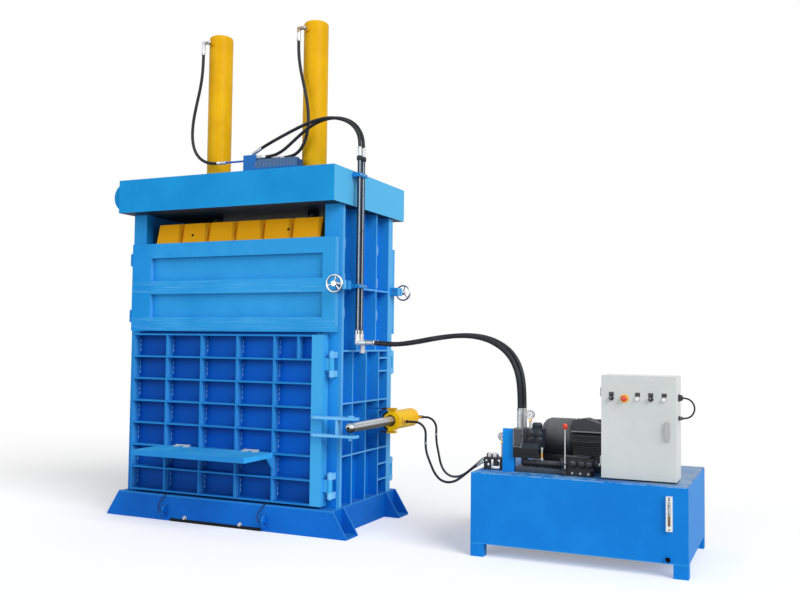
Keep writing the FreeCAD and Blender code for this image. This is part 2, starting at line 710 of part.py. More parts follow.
lug_reach = pin_x + 40
trunnion_lugs = []
for low in (lug_low - s.trunnion_lug_plate, lug_high):
    lug = box((half_width - s.wall_rib, lug_reach), (s.trunnion_y - 30, s.trunnion_y + 30),
              (low, low + s.trunnion_lug_plate))
    bore = rod("z", (pin_x, s.trunnion_y, low - 5), s.trunnion_lug_plate + 10,
               s.trunnion_pin_radius + s.pin_clearance)
    trunnion_lugs.append(cut("trunnion_lug", lug, [bore]))
nodes.append(group("trunnion_lugs", trunnion_lugs))


# ---- feed doors and their clamping screws ------------------------------------------------

feed_left = -half_width + s.feed_left
feed_right = half_width - s.feed_right
feed_back = half_depth + 2
feed_face = feed_back + s.feed_thickness
feed_hinge_x = -half_width + s.feed_hinge_in
feed_hinge_y = half_depth + s.feed_hinge_out
feed_knuckle = 30
feed_hinge_height = 104
feed_hinge_levels = (s.feed_hinge_low, s.feed_hinge_high)


def feed_door(label, side):
    depth = faced(side, feed_back, feed_face)
    panel = box((feed_left, feed_right), depth, (s.feed_bottom, s.feed_bottom + s.feed_height))
    lug = box((feed_right, half_width + s.lug_width - 5), faced(side, feed_face - 36, feed_face),
              (s.screw_height - s.lug_height / 2, s.screw_height + s.lug_height / 2))
    pieces = [panel, lug]
    tools = []
    for row in range(2):
        low = s.feed_bottom + s.recess_low + row * s.recess_step
        tools.append(box((feed_left + s.recess_left, feed_right - s.recess_right),
                         faced(side, feed_face - s.recess_depth, feed_face + 5),
                         (low, low + s.recess_height)))
    tools.append(rod("y", (screw_x, faced(side, feed_face - 46, feed_face + 10)[0],
                           s.screw_height), 56, s.screw_hole_radius))
    for level in feed_hinge_levels:
        low = level + feed_knuckle + knuckle_gap
        tall = feed_hinge_height - 2 * (feed_knuckle + knuckle_gap)
        pieces.append(rod("z", (feed_hinge_x, side * feed_hinge_y, low), tall,
                          s.feed_knuckle_radius))
        pieces.append(box((feed_hinge_x, feed_left + 8),
                          faced(side, feed_hinge_y - 7, feed_hinge_y + 7), (low, low + tall)))
        tools.append(rod("z", (feed_hinge_x, side * feed_hinge_y, level), feed_hinge_height,
                         s.feed_pin_radius + s.pin_clearance))
    return cut(label, fuse("feed_panel", pieces), tools)


nodes.append(feed_door("feed_door_front", -1))
nodes.append(feed_door("feed_door_rear", 1))

feed_hinge_sets = []
for side in (-1, 1):
    for level in feed_hinge_levels:
        pieces = [rod("z", (feed_hinge_x, side * feed_hinge_y, level - 5), feed_hinge_height + 10,
                      s.feed_pin_radius)]
        for low in (level, level + feed_hinge_height - feed_knuckle):
            pieces.append(rod("z", (feed_hinge_x, side * feed_hinge_y, low), feed_knuckle,
                              s.feed_knuckle_radius))
            pieces.append(box((feed_hinge_x - 12, feed_hinge_x + 12),
                              faced(side, half_depth, feed_hinge_y), (low, low + feed_knuckle)))
        feed_hinge_sets.append(fuse("feed_hinge_set", pieces))
nodes.append(group("feed_door_hinges", feed_hinge_sets))

wheel_spokes = 3
first_spoke = 75


def hand_wheel(label, side):
    # A rim, three spokes and a hub on a screw that reaches through the door's lug.
    wheel_y = side * (half_depth + s.wheel_out)
    rim = doc.addObject("Part::Torus", "rim")
    bind(rim, {"Radius1": s.wheel_radius - s.wheel_rim, "Radius2": s.wheel_rim})
    put(rim, screw_x, wheel_y, s.screw_height, FreeCAD.Rotation(UP, AXES["y"]))
    pieces = [rim]
    for i in range(wheel_spokes):
        angle = 360 * i / wheel_spokes + first_spoke
        heading = FreeCAD.Vector(math.cos(math.radians(angle)), 0, math.sin(math.radians(angle)))
        spoke = doc.addObject("Part::Cylinder", "spoke")
        bind(spoke, {"Radius": 6, "Height": s.wheel_radius - s.wheel_rim})
        pieces.append(put(spoke, screw_x, wheel_y, s.screw_height, FreeCAD.Rotation(UP, heading)))
    hub = faced(side, feed_face + 0.3, half_depth + s.wheel_out + 16)
    pieces.append(rod("y", (screw_x, hub[0], s.screw_height), hub[1] - hub[0], 20))
    screw = faced(side, half_depth - 40, half_depth + s.wheel_out)
    pieces.append(rod("y", (screw_x, screw[0], s.screw_height), screw[1] - screw[0],
                      s.screw_radius))
    return fuse(label, pieces)


nodes.append(hand_wheel("hand_wheel_front", -1))
nodes.append(hand_wheel("hand_wheel_rear", 1))


# ---- standpipes, manifold and the hoses of the baler -------------------------------------

pipe_x = larger(header_side, half_width) + s.pipe_side
pipe_ys = (-s.pipe_front, s.pipe_step - s.pipe_front)
pipe_length = s.pipe_top - s.pipe_bottom
line_z = 3157
steel_pipes = [rod("z", (pipe_x, y, s.pipe_bottom), pipe_length, s.pipe_radius) for y in pipe_ys]
steel_pipes.append(rod("x", (-324, -150, line_z), s.manifold_left + 324, s.line_radius))
port_block_right = s.manifold_left + s.port_block_length
steel_pipes.append(rod("x", (port_block_right, -160, line_z), 208 - port_block_right,
                       s.line_radius))
nodes.append(group("steel_pipes", steel_pipes))

clamps = []
clamp_y = (pipe_ys[0] - 30, pipe_ys[1] + 30)
clamp_places = ((header_side, s.header_top - s.header_clamp_drop), (half_width, s.wall_clamp_level))
for back, level in clamp_places:
    clamp = box((back, pipe_x + s.pipe_radius + 8), clamp_y,
                (level - s.clamp_height / 2, level + s.clamp_height / 2))
    bores = [rod("z", (pipe_x, y, level - 40), 80, s.pipe_radius + 0.3) for y in pipe_ys]
    clamps.append(cut("clamp", clamp, bores))
nodes.append(group("pipe_clamps", clamps))

manifold_y = (-(s.manifold_back + s.manifold_width), -s.manifold_back)
manifold_top = s.header_top + s.manifold_height
manifold_right = s.manifold_left + s.manifold_length
bar_top = manifold_top + 18
manifold = [box((s.manifold_left, manifold_right), manifold_y, (s.header_top, manifold_top)),
            box((port_block_right + 10, manifold_right - 20),
                (manifold_y[0] + 20, manifold_y[1] - 20), (manifold_top, bar_top)),
            box((s.manifold_left, port_block_right), (manifold_y[0], manifold_y[1] + 30),
                (manifold_top, manifold_top + s.port_block_height))]
nodes.append(fuse("header_manifold", manifold))

left_port = -ram_x.value - s.ram_port_side.value
right_port = ram_x.value - s.ram_port_side.value
left_ram_route = [(left_port, -150, 4200), (left_port, -150, 4060), (left_port - 21, -152, 3890),
                  (left_port - 63, -156, 3715), (left_port - 96, -160, 3545),
                  (left_port - 99, -160, 3390), (left_port - 61, -158, 3268), (-580, -155, 3188),
                  (-476, -150, 3157), (-384, -150, 3157)]
right_ram_route = [(right_port, -150, 4200), (right_port, -150, 4080),
                   (right_port + 26, -156, 3930), (right_port + 73, -172, 3780),
                   (right_port + 111, -180, 3640), (right_port + 131, -182, 3500),
                   (right_port + 126, -180, 3372), (right_port + 89, -176, 3260),
                   (440, -168, 3182), (346, -160, 3157), (268, -160, 3157)]
front_supply_route = [(1138, -350, 3130), (1138, -350, 3215), (1098, -345, 3300), (1032, -338, 3362),
                      (945, -328, 3402), (840, -315, 3425), (725, -302, 3424), (600, -290, 3402),
                      (470, -278, 3364), (340, -262, 3322), (230, -246, 3286), (140, -234, 3254),
                      (78, -226, 3227)]
rear_supply_route = [(1138, -284, 3130), (1138, -284, 3220), (1098, -280, 3310), (1030, -272, 3376),
                     (945, -264, 3418), (840, -256, 3438), (725, -250, 3430), (615, -246, 3392),
                     (515, -242, 3330), (420, -238, 3262), (325, -234, 3196), (222, -230, 3160),
                     (120, -230, 3160)]
front_main_route = [(1210, -350, 1538), (1310, -350, 1538), (1460, -354, 1524), (1630, -360, 1544),
                    (1830, -366, 1582), (2020, -372, 1604), (2178, -378, 1596), (2308, -384, 1556),
                    (2422, -390, 1478), (2494, -396, 1362), (2524, -400, 1210), (2524, -400, 1050)]
rear_main_route = [(1210, -284, 1538), (1312, -284, 1538), (1464, -288, 1526), (1634, -298, 1546),
                   (1836, -310, 1584), (2028, -320, 1607), (2190, -330, 1600), (2326, -338, 1561),
                   (2443, -346, 1484), (2515, -354, 1366), (2544, -360, 1212), (2544, -360, 1050)]
upper_door_route = [(1462, 588, 740), (1462, 588, 672), (1492, 580, 557), (1529, 530, 480),
                    (1602, 440, 428), (1700, 320, 415), (1810, 180, 434), (1908, 50, 471),
                    (1992, -70, 516), (2067, -180, 562), (2131, -270, 603), (2179, -325, 636),
                    (2215, -352, 663)]
lower_door_route = [(1515, 215, 700), (1515, 215, 632), (1571, 190, 527), (1630, 140, 455),
                    (1713, 60, 417), (1814, -40, 418), (1914, -140, 448), (1999, -230, 497),
                    (2068, -300, 544), (2127, -350, 586), (2176, -380, 617), (2215, -392, 644)]
cable_route = [(3670.5, -400, 1184), (3708, -400, 1184), (3740.5, -400, 1165.2),
               (3759.3, -400, 1132.7), (3759.3, -400, 1095.2), (3740.5, -400, 1062.7),
               (3708, -400, 1043.9), (3670.5, -400, 1043.9)]

ram_hose = s.ram_hose.value
main_hose = s.main_hose.value
door_hose = s.door_hose.value
nodes.append(tube("hose_ram_left", left_ram_route, ram_hose))
nodes.append(tube("hose_ram_right", right_ram_route, ram_hose))
nodes.append(tube("hose_supply_front", front_supply_route, ram_hose))
nodes.append(tube("hose_supply_rear", rear_supply_route, ram_hose))
nodes.append(tube("hose_main_front", front_main_route, main_hose))
nodes.append(tube("hose_main_rear", rear_main_route, main_hose))
nodes.append(tube("hose_door_upper", upper_door_route, door_hose))
nodes.append(tube("hose_door_lower", lower_door_route, door_hose))
nodes.append(tube("cabinet_cable_loop", cable_route, s.cabinet_cable.value))

# Fittings on the baler: ram ports, standpipe ends and manifold ends.
elbow_radius = 16
fittings = []
for side, route in ((-1, left_ram_route), (1, right_ram_route)):
    ferrule_x, ferrule_y, ferrule_z = route[0]
    boss_x = ferrule_x + s.ram_port_reach
    fittings.append(pipe_run("ram_port", [(ferrule_x, ferrule_y, ferrule_z),
                                          (ferrule_x, ferrule_y, boss_z),
                                          (boss_x, ferrule_y, boss_z),
                                          (boss_x, boss_face, boss_z)],
                             elbow_radius))
fittings.append(ferrule(left_ram_route, s.ram_hose, s.ferrule_length, 1))
fittings.append(ferrule(right_ram_route, s.ram_hose, s.ferrule_length, 1))
ball_spot = (15, -218, 3200)
block_top = manifold_top + s.port_block_height
fittings.append(fuse("front_supply_end", [
    ferrule(front_supply_route, s.ram_hose, s.ferrule_length, 1), ball(ball_spot, elbow_radius),
    rod("z", (ball_spot[0], ball_spot[1], block_top), ball_spot[2] - block_top, 12)]))
fittings.append(ferrule(rear_supply_route, s.ram_hose, s.ferrule_length, 1))
for y in pipe_ys:
    fittings.append(fuse("pipe_top_end", [
        rod("z", (pipe_x, y, s.pipe_top), 25, s.pipe_radius + 8),
        rod("z", (pipe_x, y, s.pipe_top), 90, s.ram_hose / 2 + 3)]))
    foot_z = s.pipe_bottom - s.pipe_foot_drop
    fittings.append(pipe_run("pipe_foot_elbow", [
        (pipe_x, y, s.pipe_bottom), (pipe_x, y, foot_z), (pipe_x + s.pipe_foot_reach, y, foot_z)],
        22))
nodes.append(group("baler_fittings", fittings))

tether_wires = []
for x in tether_x:
    wire = [(x + 24, -630.5, 67), (x - 10, -630.5, 67), (x - 39, -630.5, 75),
            (x - 58, -630.5, 98), (x - 60, -630, 128), (x - 46, -627, 155), (x - 28, -624, 180),
            (x - 12, -620, 206), (x + 2, -608, 227), (x + 14, -580, 229)]
    tether_wires.append(tube("tether", wire, 8))
nodes.append(group("tether_wires", tether_wires))


# ---- power unit ---------------------------------------------------------------------------

tank_right = s.tank_left + s.tank_length
tank_back = s.tank_front + s.tank_depth
tank_top = s.tank_bottom + s.tank_height
tank_x = (s.tank_left, tank_right)
tank_y = (s.tank_front, tank_back)
tank_shell = box(tank_x, tank_y, (s.tank_bottom, tank_top))
tank_inside = box((s.tank_left + s.tank_wall, tank_right - s.tank_wall),
                  (s.tank_front + s.tank_wall, tank_back - s.tank_wall),
                  (s.tank_bottom + s.tank_wall, tank_top - s.tank_wall))
drain_x = tank_right - 132
drain = rod("y", (drain_x, s.tank_front - 12, s.tank_bottom + 28), 16, 24)
drain_hole = rod("y", (drain_x, s.tank_front - 14, s.tank_bottom + 28), 12, 19)
nodes.append(cut("tank", fuse("tank_with_drain", [tank_shell, drain]), [tank_inside, drain_hole]))

feet = []
for x in (s.tank_left, tank_right - s.tank_foot):
    for y in (s.tank_front, tank_back - 80):
        feet.append(box((x, x + s.tank_foot), (y, y + 80), (0, s.tank_bottom)))
nodes.append(group("tank_feet", feet))

lid_top = tank_top + s.lid_plate
nodes.append(named(box((s.tank_left + s.lid_from_left, tank_right - 5), (s.tank_front + 5, tank_back - 5),
                       (tank_top, lid_top)), "tank_lid"))

gauge_x = tank_right - 142
gauge_frame = box((gauge_x, gauge_x + 42), (s.tank_front - 22, s.tank_front),
                  (s.tank_bottom + 217, s.tank_bottom + 448))
gauge_slot = box((gauge_x + 12, gauge_x + 30), (s.tank_front - 25, s.tank_front - 14),
                 (s.tank_bottom + 250, s.tank_bottom + 415))
nodes.append(cut("level_gauge", gauge_frame, [gauge_slot]))

bracket_x = (s.tank_left + 187, s.tank_left + 275)
bracket_y = (s.tank_front + 171, s.tank_front + 211)
nodes.append(named(box(bracket_x, bracket_y, (tank_top, tank_top + 312)), "pump_bracket"))

block_y = (s.tank_front + 141, s.tank_front + 281)
block_right = bracket_x[1] + 208
block_z = (tank_top + 108, tank_top + 320)
valve_cuts = [rod("x", (bracket_x[1] + 60 + 50 * i, block_y[0] - 6, block_z[1] - 60), 30, 14)
              for i in range(3)]
nodes.append(cut("valve_block", fuse("block_body", [
    box((bracket_x[1], block_right), block_y, block_z),
    box((bracket_x[1] + 60, block_right - 8), (block_y[0] - 30, block_y[0]),
        (block_z[0] + 40, block_z[0] + 110)),
    turned([(0, 0), (36, 0), (38, 30), (30, 44), (0, 46)],
           (block_right - 42, block_y[0] + 62, block_z[1]))]), valve_cuts))

motor_y = s.tank_front + s.motor_axis_back
motor_z = tank_top + s.motor_axis_height
motor_left = s.tank_left + 408
channel_top = tank_top + 46
fin_count = 24


def motor():
    # Bell housing, finned stator and fan cowl on one axis, with feet and a terminal box.
    outer = s.motor_radius
    inner = s.motor_radius - s.fin_depth
    casing = turned([(0, 0), (outer - 70, 0), (outer - 38, 8), (outer - 14, 30), (outer - 3, 62),
                     (outer - 3, 235), (inner, 250), (inner, 610), (outer, 618), (outer, 740),
                     (outer - 20, 770), (0, 770)], (motor_left, motor_y, motor_z), "x")
    pieces = [casing]
    for i in range(fin_count):
        fin = doc.addObject("Part::Box", "fin")
        bind(fin, {"Length": 362, "Width": 6, "Height": s.motor_radius - 2})
        turn = FreeCAD.Rotation(AXES["x"], 360 * i / fin_count)
        offset = turn.multVec(FreeCAD.Vector(0, -3, 0))
        pieces.append(put(fin, motor_left + 252, motor_y + offset.y, motor_z + offset.z, turn))
    foot_y = (motor_y - 120, motor_y + 120)
    for x in (motor_left + 280, motor_left + 420):
        pieces.append(box((x, x + 60), foot_y, (channel_top, motor_z - inner + 30)))
    terminal_low = motor_z + 78
    terminal_front = motor_y - 172
    roof = [(0, 0), (262, 0), (262, 40), (98, outer - 66), (0, outer - 82)]
    pieces.append(profile(roof, "XZ", 150, (motor_left + 256, terminal_front + 150, terminal_low)))
    pieces.append(box((motor_left + 250, motor_left + 524), (terminal_front - 8, motor_y - 30),
                      (terminal_low - 8, terminal_low)))
    pump_body = turned([(0, 0), (52, 0), (52, 30), (78, 30), (78, 92), (0, 92)],
                       (motor_left - 90, motor_y, motor_z), "x")
    pieces.append(pump_body)
    pieces.append(box((motor_left + 30, motor_left + 495), (motor_y - 150, motor_y + 150),
                      (tank_top, channel_top)))
    return fuse("motor_and_pump", pieces)


nodes.append(motor())

hand_x = s.tank_left + 616
hand_y = (s.tank_front + 151, s.tank_front + 271)
hand_axis_y = (hand_y[0] + hand_y[1]) / 2
lever_x = hand_x + 47
lever_z = tank_top + 21
hand_valve_pieces = [box((hand_x + 37, hand_x + 227), hand_y, (tank_top, tank_top + 44)),
                     box((hand_x + 20, hand_x + 244), (hand_y[0] + 8, hand_y[1] - 8),
                         (tank_top + 44, tank_top + 122)),
                     rod("x", (hand_x, hand_axis_y, tank_top + 84), 267, 32),
                     rod("z", (hand_x + 150, hand_axis_y, tank_top + 110), 32, 26),
                     rod("y", (lever_x, hand_y[0] - 34, lever_z), 44, 6)]
suction_x = bracket_x[1] + 68
suction_z = tank_top + 68
hand_valve_pieces.append(pipe_run("suction_pipe", [(suction_x, hand_axis_y, block_z[0]),
                                                   (suction_x, hand_axis_y, suction_z),
                                                   (hand_x, hand_axis_y, suction_z)], 24))
nodes.append(fuse("hand_valve", hand_valve_pieces))

lever_pieces = [rod("y", (lever_x, hand_y[0] - 26, lever_z), 24, 14),
                rod("z", (lever_x, hand_y[0] - 14, lever_z), 322, 5)]
lever_ball = turned([(0, 0), (9, 0), (17, 14), (19, 26), (15, 38), (0, 44)],
                    (lever_x, hand_y[0] - 14, lever_z + 310))
lever_hole = rod("y", (lever_x, hand_y[0] - 40, lever_z), 60, 6.4)
nodes.append(cut("valve_lever", fuse("lever_body", lever_pieces + [lever_ball]), [lever_hole]))

small_x = (s.tank_left + 36, s.tank_left + 183)
small_y = (s.tank_front + 186, s.tank_front + 286)
small_pieces = [box(small_x, small_y, (tank_top, tank_top + 90)),
                rod("z", (small_x[0] + 34, small_y[0] + 34, tank_top + 90), 18, 16),
                rod("z", (small_x[0] + 80, small_y[0] + 34, tank_top + 90), 24, 14),
                rod("y", (small_x[0] + 104, small_y[0] - 16, tank_top + 52), 16, 22)]
nodes.append(fuse("small_valve", small_pieces))

dial_radius = 32


def pressure_gauge(x, y, foot, dial):
    case = turned([(0, 0), (dial_radius, 0), (dial_radius, 24), (dial_radius - 4, 24),
                   (dial_radius - 4, 20), (0, 20)], (x, y + 12, dial), turn=FreeCAD.Rotation(
                       UP, FreeCAD.Vector(0, -1, 0)))
    return fuse("pressure_gauge", [case, rod("z", (x, y, foot), dial - dial_radius + 4 - foot, 8)])


nodes.append(group("pressure_gauges", [
    pressure_gauge(small_x[1] - 22, small_y[1] - 40, tank_top + 90, tank_top + 244),
    pressure_gauge(bracket_x[1] + 122, block_y[0] + 30, block_z[1], tank_top + 424)]))

unit_fittings = []
for route in (front_main_route, rear_main_route):
    x, y, z = route[-1]
    unit_fittings.append(rod("z", (x, y, block_z[1]), z - block_z[1], s.main_hose / 2 + 2))
door_ferrule = 20
for route in (upper_door_route, lower_door_route):
    tip = FreeCAD.Vector(*route[-1])
    heading = (tip - FreeCAD.Vector(*route[-2])).normalize()
    spot = tip + heading * door_ferrule
    unit_fittings.append(fuse("door_hose_end", [
        ferrule(route, s.door_hose, door_ferrule, 1), ball(tuple(spot), s.door_hose / 2 + 3),
        rod("x", tuple(spot), small_x[0] - spot.x, s.door_hose / 2 + 1)]))
gland_length = 17.5
gland_back = 113
for z in (cable_route[0][2], cable_route[-1][2]):
    unit_fittings.append(rod("x", (s.tank_left + s.cabinet_left + s.cabinet_width,
                                   s.tank_front + s.cabinet_front + gland_back, z),
                             gland_length, 13))
nodes.append(group("unit_fittings", unit_fittings))

cab_left = s.tank_left + s.cabinet_left
cab_right = cab_left + s.cabinet_width
cab_front = s.tank_front + s.cabinet_front
cab_back = cab_front + s.cabinet_depth
cab_bottom = lid_top + s.cabinet_foot
cab_top = cab_bottom + s.cabinet_height
cab_shell = box((cab_left, cab_right), (cab_front, cab_back), (cab_bottom, cab_top))
cab_inside = box((cab_left + s.cabinet_wall, cab_right - s.cabinet_wall),
                 (cab_front - 5, cab_back - s.cabinet_wall),
                 (cab_bottom + s.cabinet_wall, cab_top - s.cabinet_wall))
cab_rails = [box((x, x + 40), (cab_front + 10, cab_back - 10), (lid_top, cab_bottom))
             for x in (cab_left + 20, cab_right - 60)]
panel_back = cab_front - 0.3
cab_hinge_x = cab_left - 7
cab_hinge_levels = (cab_bottom + 90, cab_bottom + s.cabinet_height - 150)
cab_knuckle = 20
cab_hinges = []
for level in cab_hinge_levels:
    cab_hinges.append(rod("z", (cab_hinge_x, panel_back, level - 2), 64, 2.5))
    for low in (level, level + 40):
        cab_hinges.append(rod("z", (cab_hinge_x, panel_back, low), cab_knuckle, 5.5))
        cab_hinges.append(box((cab_hinge_x - 2, cab_left), (panel_back + 1.5, panel_back + 5.5),
                              (low, low + cab_knuckle)))
nodes.append(fuse("cabinet", [cut("cabinet_shell", cab_shell, [cab_inside])] + cab_rails
                  + cab_hinges))

gear_back = cab_back - s.cabinet_wall
gear = [box((cab_left + 30, cab_right - 30), (gear_back - 12, gear_back),
            (cab_bottom + 40, cab_top - 40))]
for row, (count, width, height) in enumerate(((6, 54, 92), (4, 78, 110), (8, 40, 60))):
    low = cab_top - 190 - row * 170
    for i in range(count):
        left = cab_left + 48 + i * (width + 6)
        gear.append(box((left, left + width), (gear_back - 82, gear_back - 11),
                        (low, low + height)))
nodes.append(fuse("cabinet_switchgear", gear))

panel_front = panel_back - s.panel_thickness
button_z = cab_bottom + s.button_row
button_xs = [cab_left + s.button_first + i * s.button_pitch for i in range(5)]
bezel_radii = (17, 24, 17, 17, 17)
panel = box((cab_left, cab_right), (panel_front, panel_back), (cab_bottom + 4, cab_top - 4))
shank_radius = 6
shank_clearance = 1
bezels = [rod("y", (x, panel_front - 8, button_z), 9, r) for x, r in zip(button_xs, bezel_radii)]
bezel_wells = [rod("y", (x, panel_front - 10, button_z), 10, s.button_radius + 1)
               for x in button_xs]
shank_holes = [rod("y", (x, panel_front - 5, button_z), s.panel_thickness + 10,
                   shank_radius + shank_clearance) for x in button_xs]
door_leaves = []
leaf_bores = []
for level in cab_hinge_levels:
    low = level + cab_knuckle + 0.5
    door_leaves.append(rod("z", (cab_hinge_x, panel_back, low), cab_knuckle - 1, 5))
    door_leaves.append(box((cab_hinge_x - 2, cab_left + 1), (panel_back - 5, panel_back - 1),
                           (low, low + cab_knuckle - 1)))
    leaf_bores.append(rod("z", (cab_hinge_x, panel_back, level), 60, 2.9))
nodes.append(cut("cabinet_door", fuse("door_panel", [panel] + bezels + door_leaves),
                 bezel_wells + shank_holes + leaf_bores))

cap_back = panel_front - 6
names = ("selector_left", "stop_button", "start_button", "selector_right", "reset_button")
for name, x in zip(names, button_xs):
    pieces = [rod("y", (x, cap_back - 11, button_z), 11, s.button_radius),
              rod("y", (x, cap_back, button_z), 34, shank_radius)]
    if name.startswith("selector"):
        pieces.append(box((x - 4, x + 4), (cap_back - 26, cap_back - 11),
                          (button_z - 12, button_z + 12)))
    if name == "stop_button":
        pieces.append(turned([(0, 0), (14, 0), (20, 6), (20, 14), (14, 20), (0, 21)],
                             (x, cap_back - 11, button_z),
                             turn=FreeCAD.Rotation(UP, FreeCAD.Vector(0, -1, 0))))
    nodes.append(fuse(name, pieces))

latch_x = cab_right - 58
latch_z = cab_bottom + 390
nodes.append(fuse("cabinet_latch", [
    rod("y", (latch_x, panel_front - 14, latch_z), 13.5, 14),
    box((latch_x - 13, latch_x + 13), (panel_front - 20, panel_front - 6),
        (latch_z - 105, latch_z + 14))]))


# ---- check and write ----------------------------------------------------------------------

doc.recompute()
broken = [o.Label for o in doc.Objects if "Invalid" in o.State or "Error" in o.State]
if broken:
    raise RuntimeError(f"failed objects: {broken}")
os.makedirs("parts", exist_ok=True)
triangles = 0
for node in nodes:
    shape = node.Shape
    if shape.isNull() or not shape.isValid():
        raise RuntimeError(f"{node.Label} has no valid shape")
    count = len(shape.tessellate(0.5)[1])
    triangles += count
    shape.exportStep(f"parts/{node.Label}.step")
    print(f"{node.Label}: solids {len(shape.Solids)}, volume {shape.Volume / 1e6:.2f} l, facets {count}")
print("nodes", len(nodes), "facets", triangles)
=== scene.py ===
import math

import bmesh
import bpy
from mathutils import Matrix, Vector


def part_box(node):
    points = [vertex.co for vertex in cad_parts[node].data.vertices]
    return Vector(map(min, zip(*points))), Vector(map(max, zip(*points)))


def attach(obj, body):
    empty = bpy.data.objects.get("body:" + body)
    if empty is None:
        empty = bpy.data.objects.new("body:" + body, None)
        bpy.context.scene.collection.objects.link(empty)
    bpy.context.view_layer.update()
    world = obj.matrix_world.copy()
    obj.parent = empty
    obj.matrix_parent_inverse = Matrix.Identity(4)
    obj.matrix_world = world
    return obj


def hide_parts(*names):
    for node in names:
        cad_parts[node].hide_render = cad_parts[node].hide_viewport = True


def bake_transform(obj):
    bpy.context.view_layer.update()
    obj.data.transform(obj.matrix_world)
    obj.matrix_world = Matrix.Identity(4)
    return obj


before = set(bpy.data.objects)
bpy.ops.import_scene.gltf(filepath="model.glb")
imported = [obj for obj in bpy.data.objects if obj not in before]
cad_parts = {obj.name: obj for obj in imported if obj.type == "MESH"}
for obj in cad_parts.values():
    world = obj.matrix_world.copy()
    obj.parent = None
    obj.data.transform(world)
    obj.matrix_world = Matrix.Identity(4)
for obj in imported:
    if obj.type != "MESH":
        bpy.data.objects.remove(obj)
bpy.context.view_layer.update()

scene = bpy.context.scene
mm = 0.001
up = Vector((0, 0, 1))
front = Vector((0, -1, 0))
right = Vector((1, 0, 0))

# the camera stands where the edges in the picture fit best: metres, degrees and lens in mm
shot = {"spot": (4.4228, -6.8141, 1.5468), "turn": 24.2174, "tilt": 2.7079, "roll": 0.6622,
        "lens": 40.05, "sensor": 36, "reach": 200}


def makeCamera():
    lens = bpy.data.cameras.new("camera")
    lens.sensor_width = shot["sensor"]
    lens.lens = shot["lens"]
    lens.clip_end = shot["reach"]
    camera = bpy.data.objects.new("camera", lens)
    scene.collection.objects.link(camera)
    turn, tilt, roll = (math.radians(shot[name]) for name in ("turn", "tilt", "roll"))
    level = math.cos(tilt)
    ahead = Vector((-math.sin(turn) * level, math.cos(turn) * level, math.sin(tilt)))
    aside = Vector((math.cos(turn), math.sin(turn), 0))
    over = aside.cross(ahead)
    straight, lean = math.cos(roll), math.sin(roll)
    aside, over = aside * straight + over * lean, over * straight - aside * lean
    pose = Matrix((aside, over, -ahead)).transposed().to_4x4()
    camera.matrix_world = Matrix.Translation(shot["spot"]) @ pose
    scene.camera = camera


# shader maths

class Wire:
    # one output socket, so that shader maths reads as plain maths
    def __init__(self, tree, socket):
        self.tree = tree
        self.socket = socket

    def maths(self, operation, first, second):
        made = self.tree.nodes.new("ShaderNodeMath")
        made.operation = operation
        plug(self.tree, made.inputs[0], first)
        plug(self.tree, made.inputs[1], second)
        return Wire(self.tree, made.outputs[0])

    def __add__(self, other):
        return self.maths("ADD", self, other)

    def __radd__(self, other):
        return self.maths("ADD", other, self)

    def __sub__(self, other):
        return self.maths("SUBTRACT", self, other)

    def __rsub__(self, other):
        return self.maths("SUBTRACT", other, self)

    def __mul__(self, other):
        return self.maths("MULTIPLY", self, other)

    def __rmul__(self, other):
        return self.maths("MULTIPLY", other, self)

    def __truediv__(self, other):
        return self.maths("DIVIDE", self, other)

    def __rtruediv__(self, other):
        return self.maths("DIVIDE", other, self)

    def __gt__(self, other):
        return self.maths("GREATER_THAN", self, other)

    def __lt__(self, other):
        return self.maths("LESS_THAN", self, other)


def plug(tree, socket, value):
    if isinstance(value, Wire):
        tree.links.new(value.socket, socket)
    elif socket.type == "RGBA":
        socket.default_value = (*value, 1)
    else:
        socket.default_value = value


def within(value, low, high):
    return (value > low) * (value < high)


def apart(first, second, centre):
    # squared distance from a centre, seen along the third axis
    return ((first - centre[0]) * (first - centre[0])
            + (second - centre[1]) * (second - centre[1]))


def shaded(colour, share):
    return tuple(min(1, c * share) for c in colour)


socketNames = {
    "colour": "Base Color", "metal": "Metallic", "rough": "Roughness", "coat": "Coat Weight",
    "coatRough": "Coat Roughness", "normal": "Normal", "glow": "Emission Color",
    "glowPower": "Emission Strength", "specular": "Specular IOR Level"}


